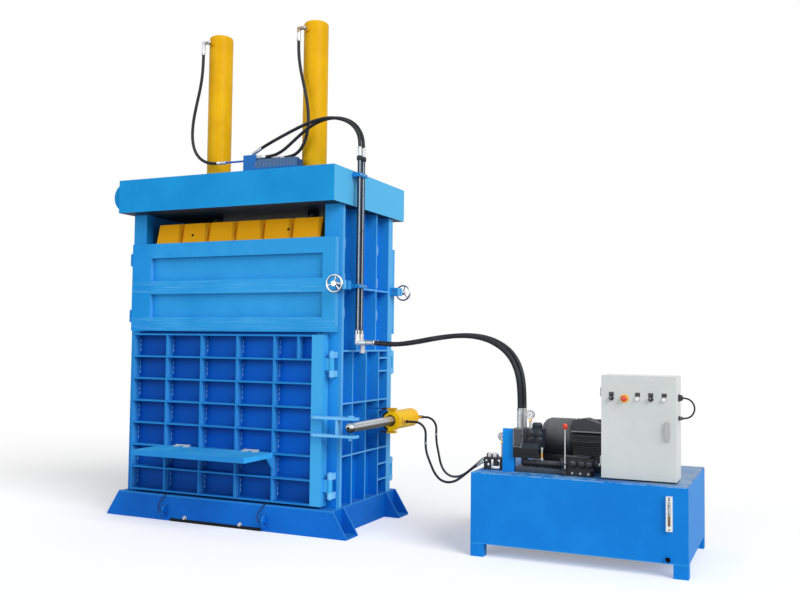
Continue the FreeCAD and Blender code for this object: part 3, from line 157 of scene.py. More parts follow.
class Finish:
    # a material, its shader and the nodes that vary it over the object's own place and normal
    def __init__(self, name, **sockets):
        self.material = bpy.data.materials.new(name)
        self.material.use_nodes = True
        self.tree = self.material.node_tree
        self.tree.nodes.clear()
        self.shader = self.tree.nodes.new("ShaderNodeBsdfPrincipled")
        out = self.tree.nodes.new("ShaderNodeOutputMaterial")
        self.tree.links.new(self.shader.outputs[0], out.inputs[0])
        self.place = self.node("ShaderNodeTexCoord", output="Object")
        self.spot = self.parts(self.place)
        self.normal = self.parts(self.node("ShaderNodeTexCoord", output="Normal"))
        self.set(**sockets)

    def set(self, **sockets):
        for name, value in sockets.items():
            plug(self.tree, self.shader.inputs[socketNames[name]], value)
        return self.material

    def node(self, kind, settings=None, sockets=None, output=0):
        made = self.tree.nodes.new(kind)
        for name, value in (settings or {}).items():
            if name == "stops":
                setStops(made.color_ramp, value)
            else:
                setattr(made, name, value)
        for name, value in (sockets or {}).items():
            plug(self.tree, made.inputs[name], value)
        return Wire(self.tree, made.outputs[output])

    def parts(self, vector):
        return [self.node("ShaderNodeSeparateXYZ", None, {0: vector}, i) for i in range(3)]

    def noise(self, scale, detail=4, roughness=0.55, stretch=None):
        where = self.place
        if stretch:
            where = self.node("ShaderNodeVectorMath", {"operation": "MULTIPLY"},
                              {0: where, 1: stretch})
        return self.node("ShaderNodeTexNoise", None, {"Vector": where, "Scale": scale,
                                                      "Detail": detail, "Roughness": roughness})

    def fraction(self, value):
        return self.node("ShaderNodeMath", {"operation": "FRACT"}, {0: value})

    def step(self, value, low, high):
        # soft step from 0 at low to 1 at high
        return self.node("ShaderNodeMapRange", {"interpolation_type": "SMOOTHSTEP"},
                         {"Value": value, "From Min": low, "From Max": high})

    def patches(self, low, high, *noise, **stretched):
        # soft patches: noise between low and high
        return self.step(self.noise(*noise, **stretched), low, high)

    def faces(self, part, low=0.7, high=0.95):
        # 1 where the surface faces along the axis whose part of the normal is given
        return self.step(part, low, high)

    def ramp(self, value, stops):
        return self.node("ShaderNodeValToRGB", {"stops": stops}, {0: value})

    def mix(self, mask, first, second):
        return self.node("ShaderNodeMix", {"data_type": "RGBA"}, {0: mask, 6: first, 7: second}, 2)

    def over(self, paint, coats):
        # each coat is a mask and the colour that it lays over what is there
        for mask, colour in coats:
            paint = self.mix(mask, paint, colour)
        return paint

    def bump(self, height, strength, distance):
        return self.node("ShaderNodeBump", None, {"Height": height, "Strength": strength,
                                                  "Distance": distance})


def setStops(band, stops):
    while len(band.elements) < len(stops):
        band.elements.new(0.5)
    for element, (at, colour) in zip(band.elements, stops):
        element.position = at
        element.color = (*colour, 1)


def noCoats(finish):
    return []


# blue enamel of the baler, with coats for what differs from piece to piece

bluePaintLook = {
    "dust": (0.2, 0.27, 0.34), "dusty": 0.2, "scuff": (0.13, 0.38, 0.72), "rough": 0.4,
    "specular": 0.07, "worn": {"shelfPaint": 0.5}, "usualWear": 0.25}


def bluePaint(name, deep, lit, coats):
    # sprayed enamel: cloudy tone, orange peel, dust on what faces up, a few scuffs
    look = bluePaintLook
    worn = look["worn"].get(name, look["usualWear"])
    finish = Finish(name, specular=look["specular"])
    cloud = finish.noise(1.7, 5, 0.6)
    grain = finish.noise(46, 3, 0.6)
    paint = finish.mix(finish.step(cloud, 0.32, 0.7), deep, lit)
    paint = finish.mix(grain * 0.06, paint, look["scuff"])
    paint = finish.over(paint, coats(finish))
    settled = finish.step(finish.normal[2], 0.6, 0.98) * finish.patches(0.4, 0.75, 9, 5, 0.65)
    chips = finish.patches(0.68, 0.71, 30, 6, 0.72) * finish.step(cloud, 0.5, 0.62)
    paint = finish.over(paint, [(settled * look["dusty"], look["dust"]),
                                (chips * worn, look["scuff"])])
    height = finish.noise(260, 3, 0.6) + finish.noise(12, 4, 0.5) * 2
    return finish.set(colour=paint, rough=look["rough"] + grain * 0.14 + settled * 0.25,
                      normal=finish.bump(height, 0.14, 0.0012))


headerLook = {"side": (0.095, 0.46, 0.79), "under": (0.01, 0.016, 0.026)}


def headerCoats(finish):
    # pale at the right end as painted light, near black underneath as painted shade
    nx, _, nz = finish.normal
    return [(finish.faces(nx), headerLook["side"]),
            (finish.faces(nz * -1, 0.6, 0.9) * 0.96, headerLook["under"])]


wallLook = {
    "foot": (0.002, 0.165, 0.63), "rub": (0.06, 0.33, 0.76), "edge": (0.12, 0.46, 0.84),
    "corner": (0.006, 0.24, 0.68), "post": (0.025, 0.34, 0.76), "edgeX": 1.0485,
    "cornerY": (-0.585, -0.455)}


def wallCoats(finish):
    # deeper towards the foot as painted shade, with rub marks; painted light makes the outer edges of
    # the ribs, the front post's side and the front faces pale
    x, y, z = finish.spot
    nx, ny, _ = finish.normal
    look = wallLook
    rub = finish.patches(0.55, 0.8, 4, 5, 0.62, stretch=(10, 10, 0.5))
    return [(finish.step(z, 1.2, 0.2), look["foot"]),
            (rub * 0.22, look["rub"]),
            (finish.faces(nx) * (x > look["edgeX"]) * 0.85, look["edge"]),
            (finish.faces(nx) * within(y, *look["cornerY"]) * 0.75, look["corner"]),
            (finish.faces(ny * -1) * finish.step(z, 0.2, 1.4) * 0.75, look["post"])]


# the lower doors' plate, its grid of ribs and the stile beside it
doorLook = {
    "left": -0.945, "stile": 0.863, "bottom": 0.240, "height": 1.357, "columns": 5, "rows": 7,
    "rib": 0.014, "skin": 0.522, "ribFace": 0.6, "foot": (0.002, 0.13, 0.5),
    "ribDeep": (0.006, 0.16, 0.55), "ribLit": (0.06, 0.34, 0.74), "ribEdge": (0.02, 0.26, 0.66),
    "plateLeft": (0.0, 0.07, 0.4), "plateRight": (0.0, 0.125, 0.62), "plateFoot": (0.0, 0.06, 0.33),
    "ribShade": (0.0, 0.02, 0.12), "shelfShade": (0.0, 0.012, 0.06), "shelfX": (-0.74, 0.5),
    "shelfZ": 0.628, "stilePaint": (0.06, 0.43, 0.83), "leafY": -0.6065, "leafZ": 0.6372}
rowPitch = (doorLook["height"] - doorLook["rib"]) / doorLook["rows"]
zinc = (0.5, 0.53, 0.56)


def doorCoats(finish):
    # painted shade on the plate behind the ribs, in a band under each rib, under the shelf and
    # towards the foot; painted light on the ribs' sides and front edges and on the stile, which
    # stands pale beside it
    x, y, z = finish.spot
    nx = finish.normal[0]
    look = doorLook
    depth = finish.node("ShaderNodeMath", {"operation": "ABSOLUTE"}, {0: y})
    grid = x < look["stile"] - mm
    side = finish.mix(finish.step(depth, 0.52, 0.6), look["ribDeep"], look["ribLit"])
    share = finish.fraction((z - look["bottom"]) / rowPitch)
    plate = finish.mix(finish.step(x, -0.95, 0.86), look["plateLeft"], look["plateRight"])
    under = finish.step(z, 0.46, 0.6) * (z < look["shelfZ"]) * within(x, *look["shelfX"])
    plate = finish.over(plate, [(finish.step(z, 0.62, 0.24), look["plateFoot"]),
                                (finish.step(share, 0.62, 0.97) * 0.55, look["ribShade"]),
                                (under * 0.8, look["shelfShade"])])
    return [(finish.step(z, 1.1, 0.2), look["foot"]),
            (finish.faces(nx) * grid * 0.85, side),
            ((depth > look["ribFace"] - 2.5 * mm) * grid * 0.6, look["ribEdge"]),
            ((depth < look["skin"] + 0.5 * mm) * grid * 0.94, plate),
            ((x > look["stile"] - mm) * (depth > 0.5) * 0.85, look["stilePaint"]),
            ((y < look["leafY"]) * (z > look["leafZ"]), zinc)]


shelfLook = {"edge": (0.015, 0.2, 0.58), "under": (0.002, 0.07, 0.26), "leafZ": 0.6402}


def shelfCoats(finish):
    # the front edge is deeper in tone and the underside darker, both painted shade, and zinc hinge
    # leaves lie on top
    _, ny, nz = finish.normal
    return [(finish.faces(ny * -1, 0.6, 0.9) * 0.8, shelfLook["edge"]),
            (finish.faces(nz * -1, 0.6, 0.9) * 0.8, shelfLook["under"]),
            (finish.spot[2] > shelfLook["leafZ"], zinc)]


feedLow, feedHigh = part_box("feed_door_front")
feedLook = {
    "lit": (0.035, 0.35, 0.76), "deep": (0.0, 0.22, 0.64), "scratch": (0.16, 0.48, 0.83),
    "lip": (0.12, 0.47, 0.84), "down": (0.0, 0.05, 0.25), "left": (0.1, 0.42, 0.8),
    "away": (0.0, 0.1, 0.4), "bandHeight": 0.122, "bandStep": 0.317}


def feedCoats(finish):
    # long pale scratches along the bands; painted light towards the right end and painted shade
    # towards the left; a painted highlight as a pale strip at the latch side; recesses with painted
    # shade on the sides that face down or left and painted light on those that face right
    x, _, z = finish.spot
    nx, _, nz = finish.normal
    look = feedLook
    scratch = finish.patches(0.5, 0.66, 7, 6, 0.72, stretch=(0.4, 9, 20))
    coats = [(finish.step(x, -0.6, 0.95) * 0.55, look["lit"]),
             (finish.step(x, -0.68, -0.86) * 0.6, look["deep"])]
    for band in (feedLow[2], feedLow[2] + look["bandStep"]):
        inside = within(z, band + 12 * mm, band + look["bandHeight"] - 4 * mm)
        coats.append((scratch * inside * 0.42, look["scratch"]))
    lip = finish.step(x, feedHigh[0] - 34 * mm, feedHigh[0] - 28 * mm) * finish.step(z, 2.24, 2.16)
    inner = within(x, feedLow[0] + 0.1, feedHigh[0] - 0.05) * (z > feedLow[2] + 0.05)
    return coats + [(lip * 0.8, look["lip"]),
                    (finish.faces(nz * -1) * inner * 0.85, look["down"]),
                    (finish.faces(nx) * inner * 0.6, look["left"]),
                    (finish.faces(nx * -1) * inner * 0.7, look["away"])]


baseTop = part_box("base_front_beam")[1][2]
baseLook = {
    "top": (0.03, 0.24, 0.58), "slope": (0.06, 0.32, 0.68), "flange": (0.03, 0.27, 0.68),
    "strip": (0.012, 0.013, 0.016), "stripX": (-0.501, 0.411), "stripY": -0.6026,
    "stripTop": 0.0245}


def baseCoats(finish):
    # paler on top, on the slopes and along the flange as painted light; at the foot a near-black
    # painted shadow of the gap under the channel
    x, y, z = finish.spot
    nz = finish.normal[2]
    look = baseLook
    slope = finish.step(nz, 0.25, 0.4) * finish.step(nz, 0.95, 0.85)
    flange = finish.step(z, baseTop - 17 * mm, baseTop - 12 * mm) * finish.step(nz, 0.8, 0.5)
    strip = (y < look["stripY"]) * (z < look["stripTop"]) * within(x, *look["stripX"])
    return [(finish.faces(nz) * 0.5, look["top"]),
            (slope * 0.45, look["slope"]),
            (flange * 0.6, look["flange"]),
            (strip, look["strip"])]


manifoldLook = {
    "gap": (0.02, 0.07, 0.2), "fin": (0.17, 0.27, 0.42), "grime": (0.06, 0.14, 0.3),
    "top": (0.16, 0.24, 0.36), "finsPerMetre": 70, "barX": 0.062, "barZ": 3.06}


def manifoldCoats(finish):
    # a finned valve bar, its fins drawn with painted shade in the gaps and painted light on top,
    # stands beside the block, whose darker blue is painted shade
    x, _, z = finish.spot
    look = manifoldLook
    fins = finish.step(finish.fraction(x * look["finsPerMetre"]), 0.35, 0.5)
    grey = finish.over(look["gap"], [(fins, look["fin"]),
                                     (finish.noise(18, 4, 0.6) * 0.5, look["grime"]),
                                     (finish.faces(finish.normal[2]) * 0.7, look["top"])])
    return [((x > look["barX"]) * (z > look["barZ"]), grey)]


tankLow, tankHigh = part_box("tank")
tankLook = {
    "side": (0.05, 0.28, 0.66), "wear": (0.25, 0.5, 0.8), "wearZ": (0.5985, 0.6045),
    "seam": (0.05, 0.36, 0.78), "edge": (0.07, 0.38, 0.78), "bore": (0.004, 0.004, 0.005),
    "boreSpot": (3.608, 0.121), "boreArea": 0.00033}


def tankCoats(finish):
    # paler end as painted light, a worn top edge, a paler line at the foot, a painted highlight down
    # the front corner, and the drain's bore painted dark as painted shade
    x, y, z = finish.spot
    look = tankLook
    worn = finish.patches(0.4, 0.6, 14, 5, 0.7)
    corner = (x > tankHigh[0] - 8 * mm) * (y < tankLow[1] + 12 * mm)
    bore = (apart(x, z, look["boreSpot"]) < look["boreArea"]) * (y < -0.6)
    return [(finish.faces(finish.normal[0]) * 0.5, look["side"]),
            (within(z, *look["wearZ"]) * worn * 0.7, look["wear"]),
            (within(z, tankLow[2] - 2 * mm, tankLow[2] + 6 * mm) * 0.5, look["seam"]),
            (corner * 0.5, look["edge"]),
            (bore, look["bore"])]


lugLook = {"grease": (0.03, 0.022, 0.014), "tip": (0.72, 0.38, 0.004)}


def lugCoats(finish):
    # painted shadow, dark where the trunnion turns beside the cylinder, with the cylinder's yellow on
    # the tips
    x = finish.spot[0]
    return [(finish.step(x, 1.13, 1.16) * 0.9, lugLook["grease"]),
            (finish.step(x, 1.2, 1.21), lugLook["tip"])]


# yellow paint of the rams, the door cylinder and the platen

yellowPaintLook = {
    "deep": (0.7, 0.36, 0.0), "lit": (0.8, 0.445, 0.002), "grime": (0.24, 0.13, 0.03),
    "rough": 0.34, "specular": 0.12}


def yellowPaint(name, grimy=0.2, shade=1.0, coats=noCoats):
    look = yellowPaintLook
    finish = Finish(name, specular=look["specular"])
    cloud = finish.noise(3.2, 5, 0.62)
    grain = finish.noise(60, 3, 0.6)
    grime = finish.patches(0.52, 0.78, 7, 5, 0.7, stretch=(8, 8, 0.7)) * grimy
    nicks = finish.patches(0.69, 0.72, 38, 5, 0.7)
    paint = finish.over(shaded(look["deep"], shade),
                        [(finish.step(cloud, 0.3, 0.7), shaded(look["lit"], shade)),
                         (grime, look["grime"]),
                         (nicks * 0.35, look["grime"])] + coats(finish))
    height = finish.noise(240, 3, 0.6) + finish.noise(14, 4, 0.5) * 2
    return finish.set(colour=paint, rough=look["rough"] + grain * 0.15 + grime * 0.4,
                      normal=finish.bump(height, 0.16, 0.0012))


cylinderLook = {
    "axis": (1.235, 0.878), "rim": (0.12, 0.06, 0.012), "rimArea": 0.0024, "trunnionArea": 0.0046,
    "frontY": 0.1472, "boss": (0.5, 0.3, 0.06),
    "pipeDark": ((0.012, 0.014, 0.018), (0.04, 0.045, 0.05))}


def cylinderCoats(finish):
    # painted shade on the trunnion at the near side and round the rod where it goes in, black pipes,
    # brass bosses
    x, y, z = finish.spot
    look = cylinderLook
    dark = finish.mix(finish.noise(40, 4), *look["pipeDark"])
    radial = apart(x, z, look["axis"])
    nearSide = y < look["frontY"]
    return [(nearSide * (radial < look["rimArea"]), look["rim"]),
            (nearSide * (radial > look["trunnionArea"]) * (x < 1.212), dark),
            ((x > 1.3165) * (y > 0.15), look["boss"]),
            (1 - (y < 0.576) * (x < 1.334), dark)]


platenLook = {
    "shaded": (1.0, 0.455, 0.003), "fold": (0.36, 0.13, 0.002), "glint": (0.95, 0.62, 0.1),
    "hole": (0.02, 0.012, 0.006), "holes": ((-0.456, 2.467), (0.523, 2.48)), "holeArea": 0.00016,
    "left": -0.85, "width": 1.7, "grooves": 6, "lean": 0.12}


def platenCoats(finish):
    # a brighter orange as painted light against the shade under the header, dark brown streaks beside
    # the grooves, painted glints, and two small holes painted dark as painted shade
    x, y, z = finish.spot
    look = platenLook
    along = x - look["left"] + (z - 2.42) * look["lean"]
    share = finish.fraction(along / (look["width"] / look["grooves"]))
    wave = finish.noise(5, 5, 0.7, stretch=(3, 3, 0.8))
    fold = finish.step(share + wave * 0.16, 0.9, 1.02) * finish.step(z, 2.28, 2.5)
    glint = finish.patches(0.66, 0.7, 30, 4, 0.7, stretch=(1, 1, 0.3))
    coats = [(0.85, look["shaded"]), (fold * 0.6, look["fold"]), (glint * 0.4, look["glint"])]
    for hole in look["holes"]:
        coats.append(((apart(x, z, hole) < look["holeArea"]) * (y < -0.35), look["hole"]))
    return coats


# dark castings of the power unit

def darkPaint(name, base, dust, dusty, coats=noCoats):
    finish = Finish(name, specular=0.25)
    cloud = finish.noise(11, 5, 0.62)
    settled = finish.step(finish.normal[2], -0.1, 0.95) * finish.patches(0.2, 0.72, 26, 5, 0.7)
    paint = finish.over(shaded(base, 0.7), [(cloud, shaded(base, 1.35)),
                                            (settled * dusty, dust)] + coats(finish))
    height = finish.noise(420, 3, 0.65) + finish.noise(60, 4, 0.6) * 2
    return finish.set(colour=paint, rough=0.42 + settled * 0.25,
                      normal=finish.bump(height, 0.35, 0.0012))


motorLook = {
    "axis": (-0.089, 0.83), "statorX": (2.877, 3.234), "statorTop": 0.897,
    "rim": (0.105, 0.112, 0.122), "gap": (0.003, 0.003, 0.004), "bell": (0.2, 0.21, 0.215),
    "foot": (0.045, 0.06, 0.085), "footTop": 0.6515, "lip": (0.36, 0.37, 0.38),
    "lipZ": (0.8995, 0.9085), "box": (0.065, 0.073, 0.088)}


def motorCoats(finish):
    # painted light on the fin edges and painted shade, black, in the gaps between them; dust and
    # painted light on the bell's upper side
    x, y, z = finish.spot
    look = motorLook
    radial = apart(y, z, look["axis"])
    stator = within(x, *look["statorX"]) * (z < look["statorTop"])
    bell = (x < 2.8765) * (z > look["footTop"]) * finish.step(finish.normal[2], -0.35, 1.0)
    lid = (x > 2.876) * (z > look["lipZ"][1]) * (y < -0.11)
    return [(bell * (finish.noise(12, 5, 0.7) * 0.4 + 0.6), look["bell"]),
            (stator * finish.step(radial, 0.0225, 0.0233) * 0.85, look["rim"]),
            (stator * finish.step(radial, 0.0228, 0.021), look["gap"]),
            (z < look["footTop"], look["foot"]),
            (within(z, *look["lipZ"]) * (y < -0.26), look["lip"]),
            (lid * 0.8, look["box"])]


valveLook = {
    "flatX": (2.4995, 2.559), "flatZ": (0.794, 0.917), "plateRight": 2.566, "plateFoot": 0.787,
    "rimGrey": (0.17, 0.18, 0.19), "flatGrey": (0.065, 0.07, 0.08), "pump": (0.005, 0.006, 0.009)}


def valveCoats(finish):
    # grey end plate on the left, pump body in black below
    x, y, z = finish.spot
    look = valveLook
    flat = within(x, *look["flatX"]) * within(z, *look["flatZ"])
    plate = (x < look["plateRight"]) * (z > look["plateFoot"]) * (y < -0.35)
    return [(plate, finish.mix(flat, look["rimGrey"], look["flatGrey"])),
            ((z < look["plateFoot"]) * (x > 2.493), look["pump"])]


# bare metal

def plainSteel(name, tint, dark, rough, coats=noCoats):
    finish = Finish(name, metal=0.75)
    brushed = finish.noise(30, 5, 0.7, stretch=(1, 1, 30))
    stain = finish.patches(0.5, 0.78, 18, 5, 0.65)
    tone = finish.over(tint, [(stain * 0.5, dark)] + coats(finish))
    return finish.set(colour=tone, rough=rough + brushed * 0.2 + stain * 0.12,
                      normal=finish.bump(brushed, 0.12, 0.0006))


fittingLook = {
    "neck": (0.02, 0.026, 0.034), "neckZ": (2.5, 3.072), "foot": (0.78, 0.79, 0.78),
    "gold": (0.5, 0.3, 0.08), "goldZ": (1.5, 2), "knuckle": (0.25, 0.15, 0.05), "knuckleZ": 4.24}


def fittingCoats(finish):
    # black at the neck over each standpipe, flecks of brass at the foot and on the rams
    x, _, z = finish.spot
    look = fittingLook
    gold = finish.patches(0.56, 0.6, 28, 3, 0.5) * (x > 1) * within(z, *look["goldZ"])
    fleck = finish.patches(0.5, 0.55, 14, 3, 0.5)
    return [((x > 1) * within(z, *look["neckZ"]), look["neck"]),
            ((z < look["goldZ"][1]) * 0.6, look["foot"]),
            (gold * 0.6, look["gold"]),
            ((z > look["knuckleZ"]) * fleck * 0.8, look["knuckle"])]


def brightChrome(name, tint, dark, axis, rough):
    # polished steel with the dark bands of what it mirrors
    finish = Finish(name, metal=0.85)
    scratch = finish.noise(60, 5, 0.7, stretch=(30, 1, 30))
    band = finish.normal[axis] + scratch * 0.25 - 0.125
    tone = finish.ramp(band * 0.5 + 0.5, [(0.0, dark), (0.38, dark), (0.5, tint),
                                          (0.68, shaded(tint, 0.55)), (0.8, tint),
                                          (1.0, shaded(tint, 0.8))])
    return finish.set(colour=tone, rough=rough + scratch * 0.15,
                      normal=finish.bump(scratch, 0.08, 0.0005))


rodLook = {
    "bands": [(0.0, (0.03, 0.028, 0.025)), (0.36, (0.06, 0.055, 0.05)), (0.5, (0.3, 0.3, 0.3)),
        (0.62, (0.62, 0.64, 0.66)), (0.74, (0.3, 0.33, 0.36)), (0.9, (0.7, 0.72, 0.74)),
        (1.0, (0.4, 0.42, 0.44))], "hole": (0.004, 0.004, 0.005), "holeArea": 0.0001,
    "coupling": (0.015, 0.018, 0.022), "couplingZ": (2, 2.72)}


def rodFinish(name):
    # the rod and its ball end in painted reflection bands, dark underneath as painted shade, dark
    # near the lower end, with a hole in the ball painted black as painted shade
    look = rodLook
    finish = Finish(name, metal=0.7)
    x, y, z = finish.spot
    grain = finish.noise(50, 5, 0.7, stretch=(30, 1, 30))
    band = finish.normal[2] + grain * 0.3 - 0.15
    hole = (apart(x, z, cylinderLook["axis"]) < look["holeArea"]) * (y < -0.64)
    tone = finish.over(finish.ramp(band * 0.5 + 0.5, look["bands"]),
                       [(hole, look["hole"]),
                        (within(z, *look["couplingZ"]) * 0.9, look["coupling"])])
    return finish.set(colour=tone, rough=0.28 + grain * 0.15,
                      normal=finish.bump(grain, 0.08, 0.0005))


def hoseRubber(name):
    finish = Finish(name, specular=0.25)
    wrap = finish.noise(150, 3, 0.6)
    bloom = finish.patches(0.42, 0.75, 8, 5, 0.65)
    return finish.set(colour=finish.mix(bloom * 0.6, (0.012, 0.013, 0.016), (0.05, 0.056, 0.066)),
                      rough=0.38 + wrap * 0.2, normal=finish.bump(wrap, 0.3, 0.0006))


pipeLook = {
    "black": ((0.004, 0.006, 0.012), (0.016, 0.02, 0.03)), "sheen": (0.42, 0.54, 0.7),
    "blue": (0.004, 0.12, 0.5)}


def pipeBlack(name):
    # gloss black with a long streak of light; the pipe on the header is blue
    finish = Finish(name, specular=0.3)
    x, _, z = finish.spot
    nx, ny, _ = finish.normal
    cloud = finish.noise(14, 4, 0.6)
    broken = finish.patches(0.1, 0.5, 30, 4)
    sheen = finish.step(nx * 0.62 - ny * 0.78, 0.93, 0.995) * broken
    paint = finish.over(finish.mix(cloud, *pipeLook["black"]),
                        [(sheen * 0.92 * (x > 1), pipeLook["sheen"]),
                         ((z > 3.1) * (x < 0), pipeLook["blue"])])
    return finish.set(colour=paint, rough=0.2 + cloud * 0.12,
                      normal=finish.bump(finish.noise(90, 3, 0.6), 0.05, 0.0004))


# the cabinet's row of buttons, from the left: places along x and the colours round them
buttonRow = {
    "z": 1.175, "area": 0.00062, "selectors": (3.220, 3.487), "stop": 3.309,
    "lamps": (3.398, 3.576), "dark": (0.02, 0.02, 0.022), "amber": (0.85, 0.42, 0.01),
    "grey": (0.5, 0.52, 0.52)}
cabinetLook = {
    "deep": (0.575, 0.615, 0.60), "lit": (0.63, 0.665, 0.65), "speck": (0.42, 0.45, 0.45),
    "smudge": (0.3, 0.31, 0.3), "top": (0.93, 0.94, 0.93), "side": (0.72, 0.75, 0.74),
    "frontY": -0.5319}


def cabinetPaint(name):
    # the pale top and the paler right side are painted light
    look, row = cabinetLook, buttonRow
    finish = Finish(name, coat=0.05, coatRough=0.35)
    x, y, z = finish.spot
    nx, _, nz = finish.normal
    speck = finish.noise(330, 2, 0.5)
    coats = [(finish.patches(0.3, 0.75, 3, 5, 0.6), look["lit"]),
             (finish.step(speck, 0.6, 0.72) * 0.1, look["speck"]),
             (finish.patches(0.62, 0.78, 13, 6, 0.72) * 0.14, look["smudge"]),
             (finish.faces(nz) * 0.9, look["top"]),
             (finish.faces(nx, 0.4, 0.9) * 0.4, look["side"])]
    bezels = [(at, row["dark"]) for at in row["selectors"]] + [(row["stop"], row["amber"])]
    bezels += [(at, row["grey"]) for at in row["lamps"]]
    for at, tone in bezels:
        coats.append(((apart(x, z, (at, row["z"])) < row["area"]) * (y < look["frontY"]), tone))
    return finish.set(colour=finish.over(look["deep"], coats), rough=0.42 + speck * 0.16,
                      normal=finish.bump(speck, 0.28, 0.0006))


treadLook = {
    "pitch": 0.032, "deep": (0.04, 0.2, 0.5), "worn": (0.2, 0.35, 0.52), "bar": (0.5, 0.62, 0.75),
    "left": (0.01, 0.15, 0.48)}


def treadPlate(name):
    # raised lozenges, alternately turned, over worn blue paint
    look = treadLook
    finish = Finish(name)
    x, y, _ = finish.spot
    along, across = x / look["pitch"], y / look["pitch"]

    def lozenges(shift, lean):
        u = finish.fraction(along + across * lean + shift) - 0.5
        v = finish.fraction(across - along * lean + shift) - 0.5
        return 1 - finish.step(u * u * 90 + v * v * 11, 0.5, 1.0)

    bars = finish.node("ShaderNodeMath", {"operation": "MAXIMUM"},
                       {0: lozenges(0.0, 1.0), 1: lozenges(0.5, -1.0)})
    worn = finish.patches(0.36, 0.7, 7, 5, 0.65)
    paint = finish.over(look["deep"], [(worn, look["worn"]), (bars * 0.6, look["bar"]),
                                       (finish.step(x, 3.62, 3.2) * 0.85, look["left"])])
    return finish.set(colour=paint, metal=bars * 0.5, rough=0.45 - bars * 0.12,
                      normal=finish.bump(bars, 0.9, 0.002))


def plastic(name, colour, rough=0.35, wear=(0.5, 0.5, 0.5), coat=0.1):
    finish = Finish(name, coat=coat, coatRough=0.2)
    cloud = finish.noise(60, 4, 0.6)
    rub = finish.patches(0.6, 0.8, 120, 5, 0.7)
    tone = finish.over(shaded(colour, 0.85), [(cloud, shaded(colour, 1.1)), (rub * 0.12, wear)])
    return finish.set(colour=tone, rough=rough + rub * 0.2,
                      normal=finish.bump(cloud, 0.1, 0.0004))


def sightGlass(name, oilTop):
    # oil stands in the lower part of the tube
    finish = Finish(name, coat=0.4, coatRough=0.05)
    streak = finish.noise(60, 4, stretch=(8, 8, 0.4))
    oil = finish.mix(streak, (0.1, 0.035, 0.004), (0.34, 0.14, 0.02))
    empty = finish.mix(streak, (0.3, 0.34, 0.4), (0.55, 0.6, 0.66))
    return finish.set(colour=finish.mix(finish.spot[2] > oilTop, oil, empty),
                      rough=0.12 + streak * 0.08)


def fillerGlass(name, low, high):
    # zinc fitting with an amber window
    finish = Finish(name, coat=0.3, coatRough=0.1)
    fleck = finish.noise(120, 4, 0.6)
    metal = finish.mix(fleck, (0.3, 0.31, 0.32), (0.6, 0.61, 0.62))
    window = finish.mix(fleck, (0.7, 0.3, 0.01), (0.9, 0.45, 0.03))
    return finish.set(colour=finish.mix(within(finish.spot[2], low, high), metal, window),
                      rough=0.25 + fleck * 0.1)


def leverFinish(name, shankFoot, knobFoot):
    # bright shank with a red knob at its top
    finish = Finish(name)
    z = finish.spot[2]
    knob = z > knobFoot
    scratch = finish.noise(90, 4, 0.65)
    shank = finish.mix(scratch, (0.5, 0.51, 0.52), (0.72, 0.72, 0.73))
    ball = finish.mix(scratch, (0.62, 0.035, 0.01), (0.75, 0.06, 0.02))
    tone = finish.over(shank, [(z < shankFoot, (0.06, 0.065, 0.07)), (knob, ball)])
    return finish.set(colour=tone, metal=(1 - knob) * 0.8, rough=0.3 + scratch * 0.15,
                      normal=finish.bump(scratch, 0.1, 0.0004))


def weldFinish(name):
    finish = Finish(name, coat=0.1, coatRough=0.3)
    ripple = finish.noise(240, 4, 0.7)
    return finish.set(colour=finish.mix(ripple, (0.08, 0.3, 0.66), (0.3, 0.55, 0.84)),
                      rough=0.4 + ripple * 0.15, normal=finish.bump(ripple, 0.5, 0.0015))


def dress(finish, *names):
    for name in names:
        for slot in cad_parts[name].material_slots:
            slot.material = finish
    return finish


print("finishes")
# each piece's deep and lit tones are darker or paler copies of the one blue enamel: painted shade on
# the lower doors, the base, the manifold's block, the arm pin and the lugs, painted light on the
# hinges and the door arm
bluePaints = (
    ("bluePaint", (0.006, 0.22, 0.62), (0.02, 0.3, 0.72), noCoats,
     "feed_door_hinges", "pipe_clamps"),
    ("headerPaint", (0.003, 0.25, 0.62), (0.008, 0.31, 0.7), headerCoats, "header_beam"),
    ("feedDoorPaint", (0.012, 0.28, 0.67), (0.03, 0.345, 0.77), feedCoats,
     "feed_door_front", "feed_door_rear"),
    ("wallPaint", (0.002, 0.175, 0.66), (0.005, 0.22, 0.73), wallCoats,
     "side_frame_left", "side_frame_right"),
    ("doorPaint", (0.004, 0.15, 0.47), (0.008, 0.19, 0.55), doorCoats,
     "lower_front_door", "lower_rear_door", "shelf_brackets"),
    ("basePaint", (0.0, 0.115, 0.53), (0.001, 0.15, 0.61), baseCoats,
     "base_front_beam", "base_rear_beam", "base_floor"),
    ("palePaint", (0.12, 0.45, 0.83), (0.19, 0.54, 0.91), noCoats, "lower_door_hinges", "door_arm"),
    ("manifoldPaint", (0.008, 0.12, 0.4), (0.024, 0.17, 0.5), manifoldCoats, "header_manifold"),
    ("bracketPaint", (0.001, 0.25, 0.77), (0.004, 0.31, 0.87), noCoats, "pump_bracket"),
    ("pinPaint", (0.002, 0.12, 0.42), (0.006, 0.17, 0.52), noCoats, "arm_pin"),
    ("lugPaint", (0.002, 0.13, 0.5), (0.006, 0.17, 0.58), lugCoats, "trunnion_lugs"),
    ("shelfPaint", (0.02, 0.36, 0.8), (0.05, 0.45, 0.9), shelfCoats, "shelf"),
    ("tankPaint", (0.001, 0.19, 0.64), (0.004, 0.23, 0.72), tankCoats, "tank", "tank_feet"),
)
for name, deep, lit, coats, *nodes in bluePaints:
    dress(bluePaint(name, deep, lit, coats), *nodes)
dress(yellowPaint("yellowPaint"), "ram_cylinder_left", "ram_cylinder_right")
